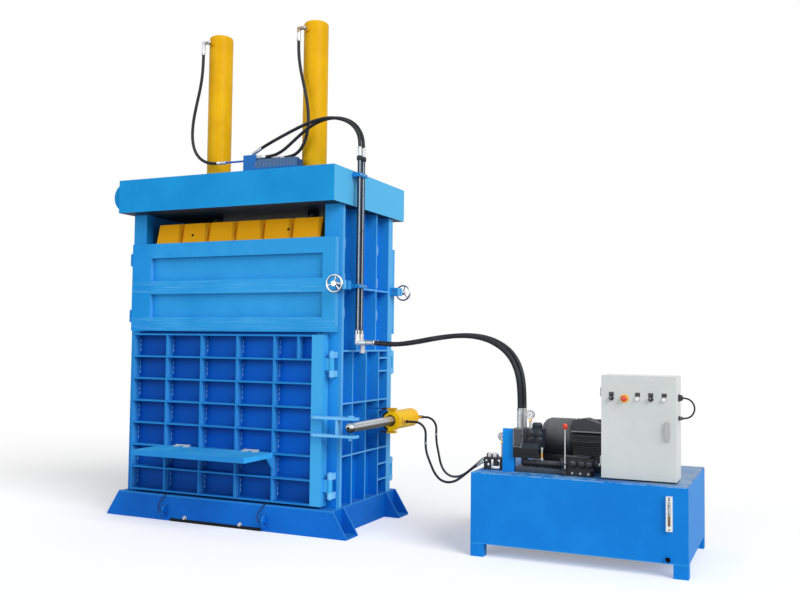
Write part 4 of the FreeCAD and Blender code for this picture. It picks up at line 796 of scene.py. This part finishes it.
# the platen and the door cylinder take brighter copies of the yellow as painted light
dress(yellowPaint("platenPaint", 0.25, 1.15, platenCoats), "platen")
dress(yellowPaint("cylinderPaint", 0.2, 1.42, cylinderCoats), "door_cylinder")
balerSteel = dress(plainSteel("balerFittings", (0.56, 0.58, 0.6), (0.2, 0.21, 0.22), 0.36,
                              fittingCoats), "baler_fittings")
steel = dress(plainSteel("zincSteel", (0.52, 0.54, 0.56), (0.16, 0.17, 0.18), 0.36),
              "unit_fittings")
darkSteel = dress(plainSteel("dullSteel", (0.4, 0.41, 0.43), (0.16, 0.16, 0.17), 0.38),
                  "pressure_gauges")
brass = plainSteel("brassFitting", (0.85, 0.52, 0.12), (0.45, 0.25, 0.05), 0.25)
dress(rodFinish("rodChrome"), "ram_rods", "door_rod")
dress(brightChrome("wheelChrome", (0.85, 0.85, 0.84), (0.05, 0.1, 0.2), 2, 0.16),
      "hand_wheel_front", "hand_wheel_rear")
ferruleSteel = brightChrome("ferruleSteel", (0.7, 0.72, 0.72), (0.14, 0.14, 0.15), 0, 0.3)
rubber = dress(hoseRubber("hoseRubber"), "tether_wires")
blackPipe = dress(pipeBlack("blackPipe"), "steel_pipes")
motorDark = dress(darkPaint("motorPaint", (0.034, 0.041, 0.049), (0.24, 0.25, 0.26), 0.8,
                            motorCoats), "motor_and_pump")
dress(darkPaint("valveCasting", (0.018, 0.024, 0.036), (0.12, 0.14, 0.17), 0.6, valveCoats),
      "valve_block")
ironDark = dress(darkPaint("castIron", (0.016, 0.018, 0.022), (0.2, 0.23, 0.27), 0.7),
                 "hand_valve", "small_valve")
rimIron = darkPaint("rimIron", (0.05, 0.058, 0.075), (0.16, 0.18, 0.21), 0.6)
trayDark = darkPaint("trayPaint", (0.045, 0.06, 0.085), (0.16, 0.2, 0.26), 0.6)
dress(cabinetPaint("cabinetPaint"), "cabinet", "cabinet_door")
dress(treadPlate("treadPlate"), "tank_lid")
blackPlastic = dress(plastic("blackPlastic", (0.018, 0.018, 0.02), 0.4, (0.1, 0.1, 0.1)),
                     "selector_left", "selector_right")
dress(plastic("greyPlastic", (0.42, 0.44, 0.435), 0.45), "cabinet_latch")
whitePlastic = dress(plastic("whitePlastic", (0.82, 0.82, 0.8), 0.3, (0.6, 0.6, 0.58), 0.4),
                     "level_gauge", "start_button", "reset_button")
dress(plastic("redPlastic", (0.66, 0.03, 0.015), 0.3, (0.5, 0.1, 0.08), 0.4), "stop_button")
yellowPlastic = plastic("yellowPlastic", (0.9, 0.55, 0.02), 0.35, (0.6, 0.4, 0.1), 0.3)
dress(plastic("switchgearPlastic", (0.2, 0.21, 0.23), 0.45), "cabinet_switchgear")
lockGrey = plastic("lockGrey", (0.5, 0.525, 0.515), 0.45)
amber = sightGlass("amberOil", oilTop=0.412)
fillerFinish = fillerGlass("fillerTube", 0.725, 0.757)
dress(leverFinish("leverFinish", shankFoot=0.655, knobFoot=0.932), "valve_lever")
weldPaint = weldFinish("weldBead")


# mesh tools: shapes are gathered in a bmesh, which then becomes one piece

def addPiece(name, bm, finish, body, smooth=32):
    mesh = bpy.data.meshes.new(name)
    bmesh.ops.recalc_face_normals(bm, faces=bm.faces)
    bm.to_mesh(mesh)
    bm.free()
    piece = bpy.data.objects.new(name, mesh)
    scene.collection.objects.link(piece)
    mesh.materials.append(finish)
    if smooth:
        mesh.shade_smooth()
        mesh.set_sharp_from_angle(angle=math.radians(smooth))
    if body:
        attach(piece, body)
    return piece


def joinRings(bm, rings):
    # side faces between rings of as many corners, and a face at each end
    for low, high in zip(rings, rings[1:]):
        for i in range(len(low)):
            j = (i + 1) % len(low)
            bm.faces.new((low[i], low[j], high[j], high[i]))
    bm.faces.new(rings[0])
    bm.faces.new(rings[-1])


def addLathe(bm, profile, spot, axis, segments=28):
    # a profile of (radius, height) turned about an axis through a spot
    turn = up.rotation_difference(Vector(axis)).to_matrix().to_4x4()
    place = Matrix.Translation(spot) @ turn
    rings = []
    for radius, height in profile:
        ring = []
        for i in range(segments):
            angle = 2 * math.pi * i / segments
            corner = Vector((radius * math.cos(angle), radius * math.sin(angle), height))
            ring.append(bm.verts.new(place @ corner))
        rings.append(ring)
    joinRings(bm, rings)


def addBlock(bm, low, high, bevel=0.002, turn=None):
    # a box with rounded edges
    low, high = Vector(low), Vector(high)
    verts = bmesh.ops.create_cube(bm, size=1)["verts"]
    bmesh.ops.scale(bm, vec=high - low, verts=verts)
    edges = list({e for v in verts for e in v.link_edges})
    rounded = bmesh.ops.bevel(bm, geom=edges, offset=bevel, segments=2, affect="EDGES",
                              profile=0.6)
    verts = list({v for f in rounded["faces"] for v in f.verts}
                 | {v for v in verts if v.is_valid})
    place = Matrix.Translation((low + high) / 2)
    if turn:
        place = place @ turn
    bmesh.ops.transform(bm, matrix=place, verts=verts)


def addBolt(bm, spot, axis, across, washer=True):
    # a hexagon head with a chamfer, on a washer
    head = across * 0.62
    start = Vector(spot)
    if washer:
        rim = across * 0.72
        thick = across * 0.12
        addLathe(bm, [(rim, 0), (rim, thick), (across * 0.3, thick)], start, axis, 20)
        start = start + Vector(axis) * thick
    corner = across / math.sqrt(3)
    addLathe(bm, [(corner, 0), (corner, head * 0.82), (corner * 0.86, head),
                  (corner * 0.2, head)], start, axis, 6)


def addTube(bm, path, radius, sides=16):
    # a round tube along points, turned as little as can be
    spots = [Vector(p) for p in path]
    heading = (spots[1] - spots[0]).normalized()
    across = heading.orthogonal().normalized()
    rings = []
    for i, spot in enumerate(spots):
        if i:
            ahead = (spots[min(i + 1, len(spots) - 1)] - spots[i - 1]).normalized()
            across = (heading.rotation_difference(ahead) @ across).normalized()
            heading = ahead
        side = heading.cross(across)
        ring = []
        for k in range(sides):
            angle = 2 * math.pi * k / sides
            reach = across * math.cos(angle) + side * math.sin(angle)
            ring.append(bm.verts.new(spot + reach * radius))
        rings.append(ring)
    joinRings(bm, rings)


# hoses: routes and diameters in mm, as in the part's source

hoseRoutes = {
    "hose_ram_left": [
        (-601, -150, 4200), (-601, -150, 4060), (-622, -152, 3890), (-664, -156, 3715),
        (-697, -160, 3545), (-700, -160, 3390), (-662, -158, 3268), (-580, -155, 3188),
        (-476, -150, 3157), (-384, -150, 3157)],
    "hose_ram_right": [
        (419, -150, 4200), (419, -150, 4080), (445, -156, 3930), (492, -172, 3780),
        (530, -180, 3640), (550, -182, 3500), (545, -180, 3372), (508, -176, 3260),
        (440, -168, 3182), (346, -160, 3157), (268, -160, 3157)],
    "hose_supply_front": [
        (1138, -350, 3130), (1138, -350, 3215), (1098, -345, 3300), (1032, -338, 3362),
        (945, -328, 3402), (840, -315, 3425), (725, -302, 3424), (600, -290, 3402),
        (470, -278, 3364), (340, -262, 3322), (230, -246, 3286), (140, -234, 3254),
        (78, -226, 3227)],
    "hose_supply_rear": [
        (1138, -284, 3130), (1138, -284, 3220), (1098, -280, 3310), (1030, -272, 3376),
        (945, -264, 3418), (840, -256, 3438), (725, -250, 3430), (615, -246, 3392),
        (515, -242, 3330), (420, -238, 3262), (325, -234, 3196), (222, -230, 3160),
        (120, -230, 3160)],
    "hose_main_front": [
        (1210, -350, 1538), (1310, -350, 1538), (1460, -354, 1524), (1630, -360, 1544),
        (1830, -366, 1582), (2020, -372, 1604), (2178, -378, 1596), (2308, -384, 1556),
        (2422, -390, 1478), (2494, -396, 1362), (2524, -400, 1210), (2524, -400, 1050)],
    "hose_main_rear": [
        (1210, -284, 1538), (1312, -284, 1538), (1464, -288, 1526), (1634, -298, 1546),
        (1836, -310, 1584), (2028, -320, 1607), (2190, -330, 1600), (2326, -338, 1561),
        (2443, -346, 1484), (2515, -354, 1366), (2544, -360, 1212), (2544, -360, 1050)],
    "hose_door_upper": [
        (1462, 588, 740), (1462, 588, 672), (1492, 580, 557), (1529, 530, 480), (1602, 440, 428),
        (1700, 320, 415), (1810, 180, 434), (1908, 50, 471), (1992, -70, 516), (2067, -180, 562),
        (2131, -270, 603), (2179, -325, 636), (2215, -352, 663)],
    "hose_door_lower": [
        (1515, 215, 700), (1515, 215, 632), (1571, 190, 527), (1630, 140, 455), (1713, 60, 417),
        (1814, -40, 418), (1914, -140, 448), (1999, -230, 497), (2068, -300, 544),
        (2127, -350, 586), (2176, -380, 617), (2215, -392, 644)],
    "cabinet_cable_loop": [
        (3670.5, -400, 1184), (3708, -400, 1184), (3740.5, -400, 1165.2), (3759.3, -400, 1132.7),
        (3759.3, -400, 1095.2), (3740.5, -400, 1062.7), (3708, -400, 1043.9),
        (3670.5, -400, 1043.9)],
}
hoseSizes = {"hose_ram": 28, "hose_supply": 28, "hose_main": 38, "hose_door": 20, "cabinet_cable": 12}
routes = {name: [Vector(p) * mm for p in points] for name, points in hoseRoutes.items()}


def hoseSize(name):
    # the last word of a hose's name only tells it from its neighbour
    return hoseSizes[name.rsplit("_", 1)[0]] * mm


def hoseCurve(name, points):
    curve = bpy.data.curves.new(name + "Line", "CURVE")
    curve.dimensions = "3D"
    curve.resolution_u = 10
    spline = curve.splines.new("NURBS")
    spline.points.add(len(points) - 1)
    for point, spot in zip(spline.points, points):
        point.co = (*spot, 1)
    spline.order_u = 3
    spline.use_endpoint_u = True
    piece = bpy.data.objects.new(name + "Hose", curve)
    scene.collection.objects.link(piece)
    return piece


def makeHoses():
    # a door hose, which runs between the cylinder and the frame, is a mesh tube along its curve; the
    # rest are curves
    for name, points in routes.items():
        diameter = hoseSize(name)
        piece = hoseCurve(name, points)
        path = [v.co.copy() for v in bpy.data.meshes.new_from_object(piece).vertices]
        if name.startswith("hose_door"):
            bpy.data.objects.remove(piece)
            bm = bmesh.new()
            addTube(bm, path, diameter / 2)
            piece = addPiece(name + "Hose", bm, rubber, None)
            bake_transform(piece)
        else:
            piece.data.bevel_depth = diameter / 2
            piece.data.bevel_resolution = 5
            piece.data.materials.append(rubber)
            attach(piece, "frame")
        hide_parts(name)


makeCamera()
makeHoses()

# sleeve lengths at a hose's end: a collar where the part's own ferrule already shows
sleeveLook = {"flare": 1.14, "main": 0.085, "small": 0.034, "collar": 0.014, "rings": 4}


def addSleeve(bm, tip, inner, diameter, length):
    # a crimped sleeve over the end of a hose
    r = diameter / 2 * sleeveLook["flare"]
    groove = r * 0.94
    step = length * 0.05
    profile = [(r * 0.8, -0.002), (r, 0.0)]
    for i in range(sleeveLook["rings"]):
        at = length * (i + 0.6) / (sleeveLook["rings"] + 0.4)
        profile += [(r, at - step), (groove, at - step * 0.4), (groove, at + step * 0.4),
                    (r, at + step)]
    profile += [(r, length), (r * 0.88, length + 0.003)]
    addLathe(bm, profile, tip, (inner - tip).normalized())


def makeSleeves():
    fixed = bmesh.new()
    swinging = bmesh.new()
    for name, points in routes.items():
        if name == "cabinet_cable_loop":
            continue
        main = name.startswith("hose_main")
        startSize, endSize = ("main", "collar") if main else ("collar", "small")
        start = swinging if name.startswith("hose_door") else fixed
        diameter = hoseSize(name)
        addSleeve(start, points[0], points[1], diameter, sleeveLook[startSize])
        addSleeve(fixed, points[-1], points[-2], diameter, sleeveLook[endSize])
    addPiece("hoseSleeves", fixed, ferruleSteel, "frame")
    addPiece("doorHoseSleeves", swinging, darkSteel, "door_cylinder")


makeSleeves()
print("sleeves")

# welds: short beads inside the corners, longer stitches on the ribs' outer edges

weldLook = {"radius": 0.004, "dash": 0.03, "gap": 0.011, "rings": 9, "end": 0.02}
stitchLook = {**weldLook, "radius": 0.007, "dash": 0.085, "gap": 0.2}
wallWeldLook = {
    "wallX": 0.962, "lowerYs": (-0.420, -0.241, 0.007, 0.255),
    "lowerZs": (0.218, 0.620, 1.042, 1.470), "upperYs": (-0.420, -0.168, 0.182),
    "upperSpans": ((1.477, 1.985), (1.999, 2.650)), "edgeX": 1.0455,
    "edgeYs": (-0.415, -0.152, 0.198), "edgeSpan": (1.5, 2.62)}


def addWeld(bm, spot, low, high, look=weldLook):
    # a row of rippled beads up a corner at x and y, from one height to another
    pitch = look["dash"] + look["gap"]
    count = max(1, int((high - low - look["end"]) / pitch))
    first = (high - low - count * pitch + look["gap"]) / 2
    for i in range(count):
        profile = []
        for k in range(look["rings"]):
            share = k / (look["rings"] - 1)
            swell = math.sin(math.pi * (0.12 + 0.76 * share)) ** 0.5
            ripple = 1 + 0.16 * math.sin(k * 2.4 + i)
            profile.append((look["radius"] * swell * ripple, share * look["dash"]))
        addLathe(bm, profile, (*spot, low + first + i * pitch), up, 8)


def makeDoorWelds(name, side, body):
    look = doorLook
    columnPitch = (look["stile"] - look["left"]) / look["columns"]
    inset = 0.012
    bm = bmesh.new()
    for column in range(look["columns"]):
        x = look["left"] + column * columnPitch + look["rib"]
        for row in range(look["rows"]):
            z = look["bottom"] + row * rowPitch
            addWeld(bm, (x, side * look["skin"]), z + look["rib"] + inset, z + rowPitch - inset)
    addPiece(name, bm, weldPaint, body)


def makeWallWelds():
    look = wallWeldLook
    end = weldLook["end"]
    spans = [(y, span) for y in look["lowerYs"]
             for span in zip(look["lowerZs"], look["lowerZs"][1:])]
    spans += [(y, span) for y in look["upperYs"] for span in look["upperSpans"]]
    bm = bmesh.new()
    for y, (low, high) in spans:
        addWeld(bm, (look["wallX"], y), low + end, high - end)
    for y in look["edgeYs"]:
        addWeld(bm, (look["edgeX"], y), *look["edgeSpan"], stitchLook)
    addPiece("wallWelds", bm, weldPaint, "frame")


makeDoorWelds("frontDoorWelds", -1, "lower_front_door")
makeDoorWelds("rearDoorWelds", 1, "lower_rear_door")
makeWallWelds()
print("welds")

# small pieces: a finish, a body and shapes, made in the order in which they are listed

def makePieces(pieces):
    for name, (finish, body, *shapes) in pieces.items():
        bm = bmesh.new()
        for add, *facts in shapes:
            add(bm, *facts)
        addPiece(name, bm, finish, body)


def nutProfile(r, h):
    return [(r - 1.5 * mm, 0), (r, 4 * mm), (r, h - 4 * mm), (r - 1.5 * mm, h)]


balerPieces = {
    "footBolts": (
        steel, "frame", (addBolt, (-0.346, -0.6032, 0.038), front, 0.026),
        (addBolt, (0.21, -0.6032, 0.034), front, 0.026)),
    "pipeNuts": (
        blackPipe, "frame",
        *((addLathe, nutProfile(*size), (1.138, y, z), up, 6)
          for y in (-0.350, -0.284)
          for z, size in ((3.033, (0.026, 0.034)), (1.606, (0.024, 0.038))))),
    "elbowPlug": (
        balerSteel, "frame",
        (addLathe, [(0.017, 0), (0.021, 0.004), (0.021, 0.03), (0.024, 0.032),
                    (0.024, 0.062), (0.02, 0.067)], (1.152, -0.284, 1.5185), -up, 6)),
    "clampBolts": (
        steel, "frame", *((addBolt, (1.1633, y, z), right, 0.013, False)
                          for z in (2.912, 1.999) for y in (-0.374, -0.317, -0.26))),
}
makePieces(balerPieces)
print("baler details")

# small parts of the power unit

gaugeLook = {
    "spots": ((2.378, -0.373, 0.848), (2.614, -0.448, 1.028)), "stemYs": (-0.371, -0.44),
    "radius": 0.0275, "ticks": 11, "first": 225, "sweep": 270, "tickReach": 0.0215,
    "tick": (0.004, 0.0006, 0.0009), "longTick": 0.0055, "needleTurn": 205, "needleReach": 0.007,
    "needle": (0.011, 0.0006, 0.0008), "stemDrop": 0.052}


def makeGauges():
    look = gaugeLook
    dials, marks, stems = bmesh.new(), bmesh.new(), bmesh.new()

    def addMark(centre, angle, reach, lift, size):
        spot = Vector(centre) + Vector((math.cos(angle) * reach, -lift, math.sin(angle) * reach))
        half = Vector(size)
        addBlock(marks, spot - half, spot + half, 0.2 * mm, Matrix.Rotation(-angle, 4, "Y"))

    for centre, stemY in zip(look["spots"], look["stemYs"]):
        x, y, z = centre
        r = look["radius"]
        addLathe(dials, [(2 * mm, 0), (r, 0), (r, 0.8 * mm), (2 * mm, 0.8 * mm)],
                 (x, y - 0.3 * mm, z), front, 36)
        for i in range(look["ticks"]):
            angle = math.radians(look["first"] - look["sweep"] * i / (look["ticks"] - 1))
            long = look["tick"][0] if i % 5 else look["longTick"]
            addMark(centre, angle, look["tickReach"], 1.6 * mm, (long, *look["tick"][1:]))
        addMark(centre, math.radians(look["needleTurn"]), look["needleReach"], 2.2 * mm,
                look["needle"])
        addLathe(marks, [(3.5 * mm, 0), (3.5 * mm, 3 * mm), (2 * mm, 3.8 * mm)],
                 (x, y - mm, z), front, 16)
        addLathe(stems, [(0.0105, 0), (0.0115, 0.003), (0.0115, 0.015), (0.0105, 0.018)],
                 (x, stemY, z - look["stemDrop"]), up, 6)
    addPiece("gaugeDials", dials, whitePlastic, "frame")
    addPiece("gaugeMarks", marks, blackPlastic, "frame")
    addPiece("gaugeNuts", stems, brass, "frame")


finLook = {
    "step": 5, "ribStep": 15, "inner": 0.139, "outer": 0.1565, "ends": (2.879, 3.232),
    "half": 0.0016, "boxBottom": 0.895, "boxY": -0.1}


def makeFins():
    # the fins between the stator's main ribs, clear of the terminal box
    look = finLook
    centre = Vector((0, *motorLook["axis"]))
    bm = bmesh.new()
    for angle in range(0, 360, look["step"]):
        a = math.radians(angle)
        along = Vector((0, math.cos(a), math.sin(a)))
        aside = Vector((0, -math.sin(a), math.cos(a))) * look["half"]
        tip = centre + along * look["outer"]
        underBox = tip.z > look["boxBottom"] and tip.y < look["boxY"]
        if angle % look["ribStep"] == 0 or underBox:
            continue
        rings = []
        for x in look["ends"]:
            foot, shoulder, crest = (centre + right * x + along * reach for reach in
                                     (look["inner"], look["outer"] - mm, look["outer"]))
            corners = (foot - aside, foot + aside, shoulder + aside, crest + aside * 0.4,
                       crest - aside * 0.4, shoulder - aside)
            rings.append([bm.verts.new(corner) for corner in corners])
        joinRings(bm, rings)
    addPiece("motorFins", bm, motorDark, "frame", smooth=0)


makeGauges()
makeFins()

valveFace = -0.4702
coils = ((2.628, 0.893, 0.021), (2.628, 0.853, 0.021), (2.690, 0.893, 0.018), (2.690, 0.85, 0.018))
doorFace = -0.5314
glandProfile = [(0.0135, 0), (0.017, 0.001), (0.017, 0.012), (0.0145, 0.014), (0.0145, 0.022),
                (0.0085, 0.03)]


def coilProfile(r):
    return [(r, 0), (r, 0.018), (r * 0.88, 0.022), (r * 0.5, 0.022), (r * 0.5, 0.03),
            (r * 0.3, 0.031)]


def rimProfile(r):
    return [(r * 1.12, 0), (r * 1.12, 0.005), (r * 0.98, 0.007), (r * 0.98, 0.001)]


unitPieces = {
    "valveCoils": (
        ironDark, "frame",
        *((addLathe, coilProfile(r), (x, valveFace, z), front, 24)
          for x, z, r in coils),
        (addBlock, (2.575, -0.4755, 0.806), (2.595, -0.4703, 0.916), 0.003)),
    "valveRims": (
        rimIron, "frame",
        *((addLathe, rimProfile(r), (x, valveFace, z), front, 24) for x, z, r in coils),
        *((addBolt, (x, valveFace, z), front, 0.009, False)
          for x in (2.507, 2.552) for z in (0.801, 0.910))),
    "fillerTube": (
        fillerFinish, "frame",
        (addLathe, [(0.006, 0), (0.009, 0.003), (0.009, 0.018), (0.006, 0.02),
                    (0.006, 0.075), (0.009, 0.077), (0.009, 0.09), (0.006, 0.093)],
         (2.7135, -0.483, 0.7045), up, 18)),
    # bright caps on the dark block, a yoke and two studs on its face
    "smallValveFittings": (
        ferruleSteel, "frame",
        (addLathe, [(0.02, 0), (0.023, 0.003), (0.023, 0.02), (0.016, 0.03),
                    (0.006, 0.032)], (2.287, -0.391, 0.6944), up, 20),
        (addLathe, [(0.024, 0), (0.026, 0.004), (0.026, 0.022), (0.018, 0.03),
                    (0.006, 0.033)], (2.335, -0.395, 0.6944), up, 6),
        (addBlock, (2.313, -0.4345, 0.632), (2.331, -0.4252, 0.682), 0.003),
        (addBlock, (2.363, -0.4345, 0.632), (2.381, -0.4252, 0.682), 0.003),
        (addBlock, (2.313, -0.4375, 0.612), (2.381, -0.4252, 0.634), 0.004),
        (addLathe, [(0.011, 0), (0.011, 0.012), (0.007, 0.014)],
         (2.292, -0.4252, 0.642), front, 18),
        (addLathe, [(0.008, 0), (0.008, 0.01), (0.005, 0.012)],
         (2.275, -0.4252, 0.672), front, 18)),
    "handValveBolts": (
        darkSteel, "frame",
        *((addBolt, (x, -0.4605, 0.6265), front, 0.016, False)
          for x in (2.872, 2.930, 2.988, 3.046)),
        (addLathe, [(0.011, 0), (0.013, 0.003), (0.013, 0.016), (0.008, 0.02)],
         (3.1002, -0.4, 0.688), right, 18)),
    # bosses, the bonnet over them and the foot under the motor's bell
    "handValveBody": (
        ironDark, "frame",
        *((addLathe, [(0.024, 0), (0.026, 0.006), (0.026, 0.018), (0.018, 0.026),
                      (0.008, 0.028)], (x, -0.452, 0.688), front, 8)
          for x in (2.868, 2.932, 2.996, 3.050)),
        (addBlock, (2.862, -0.448, 0.7262), (3.05, -0.352, 0.742), 0.006),
        (addBlock, (2.645, -0.2, 0.6503), (2.84, 0.02, 0.722), 0.006)),
    "unitTray": (
        trayDark, "frame",
        (addBlock, (2.5002, -0.437, 0.6043), (2.654, 0.05, 0.645), 0.003),
        (addBlock, (2.6545, -0.437, 0.6043), (2.866, -0.2395, 0.642), 0.003)),
    "cabinetSeal": (
        rubber, "frame",
        (addBlock, (3.154, -0.5085, 0.6103), (3.649, -0.27, 0.6177), 0.0015)),
    "sightTube": (
        amber, "frame",
        (addLathe, [(0.003, 0), (0.0056, 0.002), (0.0056, 0.156), (0.003, 0.158)],
         (3.619, -0.6312, 0.3465), up, 18)),
    "sightMarks": (
        blackPlastic, "frame",
        *((addBlock, (3.6125, -0.6372, z - 2 * mm), (3.6255, -0.6368, z + 2 * mm),
           0.1 * mm) for z in (0.372, 0.4255, 0.4795)),
        *((addLathe, [(0.0055, 0), (0.0055, 0.002), (0.003, 0.0026)],
           (3.619, -0.6331, z), front, 6) for z in (0.518, 0.53, 0.322))),
    "legendPlates": (
        blackPlastic, "cabinet_door",
        *((addBlock, (x - 0.0165, doorFace - 0.0022, 1.190),
           (x + 0.0165, doorFace, 1.2175), 0.8 * mm)
          for x in sorted(buttonRow["selectors"] + buttonRow["lamps"]))),
    "stopRing": (
        yellowPlastic, "cabinet_door",
        (addLathe, [(0.025, 0), (0.0295, 0), (0.0295, 0.002), (0.025, 0.0024)],
         (buttonRow["stop"], doorFace, buttonRow["z"]), front, 40)),
    **{body + "Pointer": (whitePlastic, body, (addBlock, (x - 0.0012, -0.5641, 1.1755),
                                               (x + 0.0012, -0.5634, 1.1865), 0.2 * mm))
       for body, x in zip(("selector_left", "selector_right"), buttonRow["selectors"])},
    "cableGlands": (
        blackPlastic, "frame",
        *((addLathe, [(r * share, h) for r, h in glandProfile] + [(0.0062, 0.032)],
           (3.6535, -0.4, z), right, 24) for z, share in ((1.184, 1.45), (1.0439, 0.9)))),
    "lockPlate": (
        lockGrey, "cabinet_door",
        (addBlock, (3.5795, doorFace - 1.2 * mm, 0.884), (3.6105, doorFace, 1.028),
         0.4 * mm)),
}
makePieces(unitPieces)
print("power unit details")

# floor and light

floorLook = {"colour": (0.93, 0.93, 0.93), "worn": (0.9, 0.9, 0.9), "half": 60, "glow": 0.3}
lampLook = {
    "sun": 2.35, "sunFrom": (0.74, -0.4, 0.54), "fill": 0.82, "fillFrom": (-0.3, -0.94, 0.14),
    "spread": 0.7, "sky": 0.33}


def makeFloor():
    finish = Finish("floorFinish", rough=0.9, specular=0.0, glowPower=floorLook["glow"])
    direct = finish.node("ShaderNodeLightPath", output="Is Camera Ray")
    finish.set(colour=finish.mix(finish.noise(0.6, 3) * 0.3, floorLook["colour"],
                                 floorLook["worn"]),
               glow=finish.mix(direct, (0, 0, 0), (1, 1, 1)))
    bm = bmesh.new()
    half = floorLook["half"]
    bm.faces.new([bm.verts.new((x * half, y * half, -0.5 * mm)) for x, y in
                  ((-1, -1), (1, -1), (1, 1), (-1, 1))])
    floor = addPiece("floor", bm, finish.material, None, smooth=0)


def makeSky():
    # full white where it is seen directly, mirrored or through glass, soft elsewhere
    world = bpy.data.worlds.new("studio")
    scene.world = world
    world.use_nodes = True
    tree = world.node_tree
    tree.nodes.clear()
    rays = tree.nodes.new("ShaderNodeLightPath")
    direct, glossy, through = (Wire(tree, rays.outputs[name]) for name in
                               ("Is Camera Ray", "Is Glossy Ray", "Is Transmission Ray"))
    back = tree.nodes.new("ShaderNodeBackground")
    back.inputs["Color"].default_value = (1, 1, 1, 1)
    shown = direct + glossy + through
    plug(tree, back.inputs["Strength"], lampLook["sky"] + shown * (1 - lampLook["sky"]))
    out = tree.nodes.new("ShaderNodeOutputWorld")
    tree.links.new(back.outputs[0], out.inputs[0])


def makeLamps():
    for name in ("sun", "fill"):
        lamp = bpy.data.lights.new(name, "SUN")
        lamp.energy = lampLook[name]
        lamp.angle = lampLook["spread"]
        holder = bpy.data.objects.new(name, lamp)
        scene.collection.objects.link(holder)
        holder.rotation_mode = "QUATERNION"
        holder.rotation_quaternion = Vector(lampLook[name + "From"]).to_track_quat("Z", "Y")


makeFloor()
makeSky()
makeLamps()
scene.view_settings.view_transform = "Standard"
print("stage")
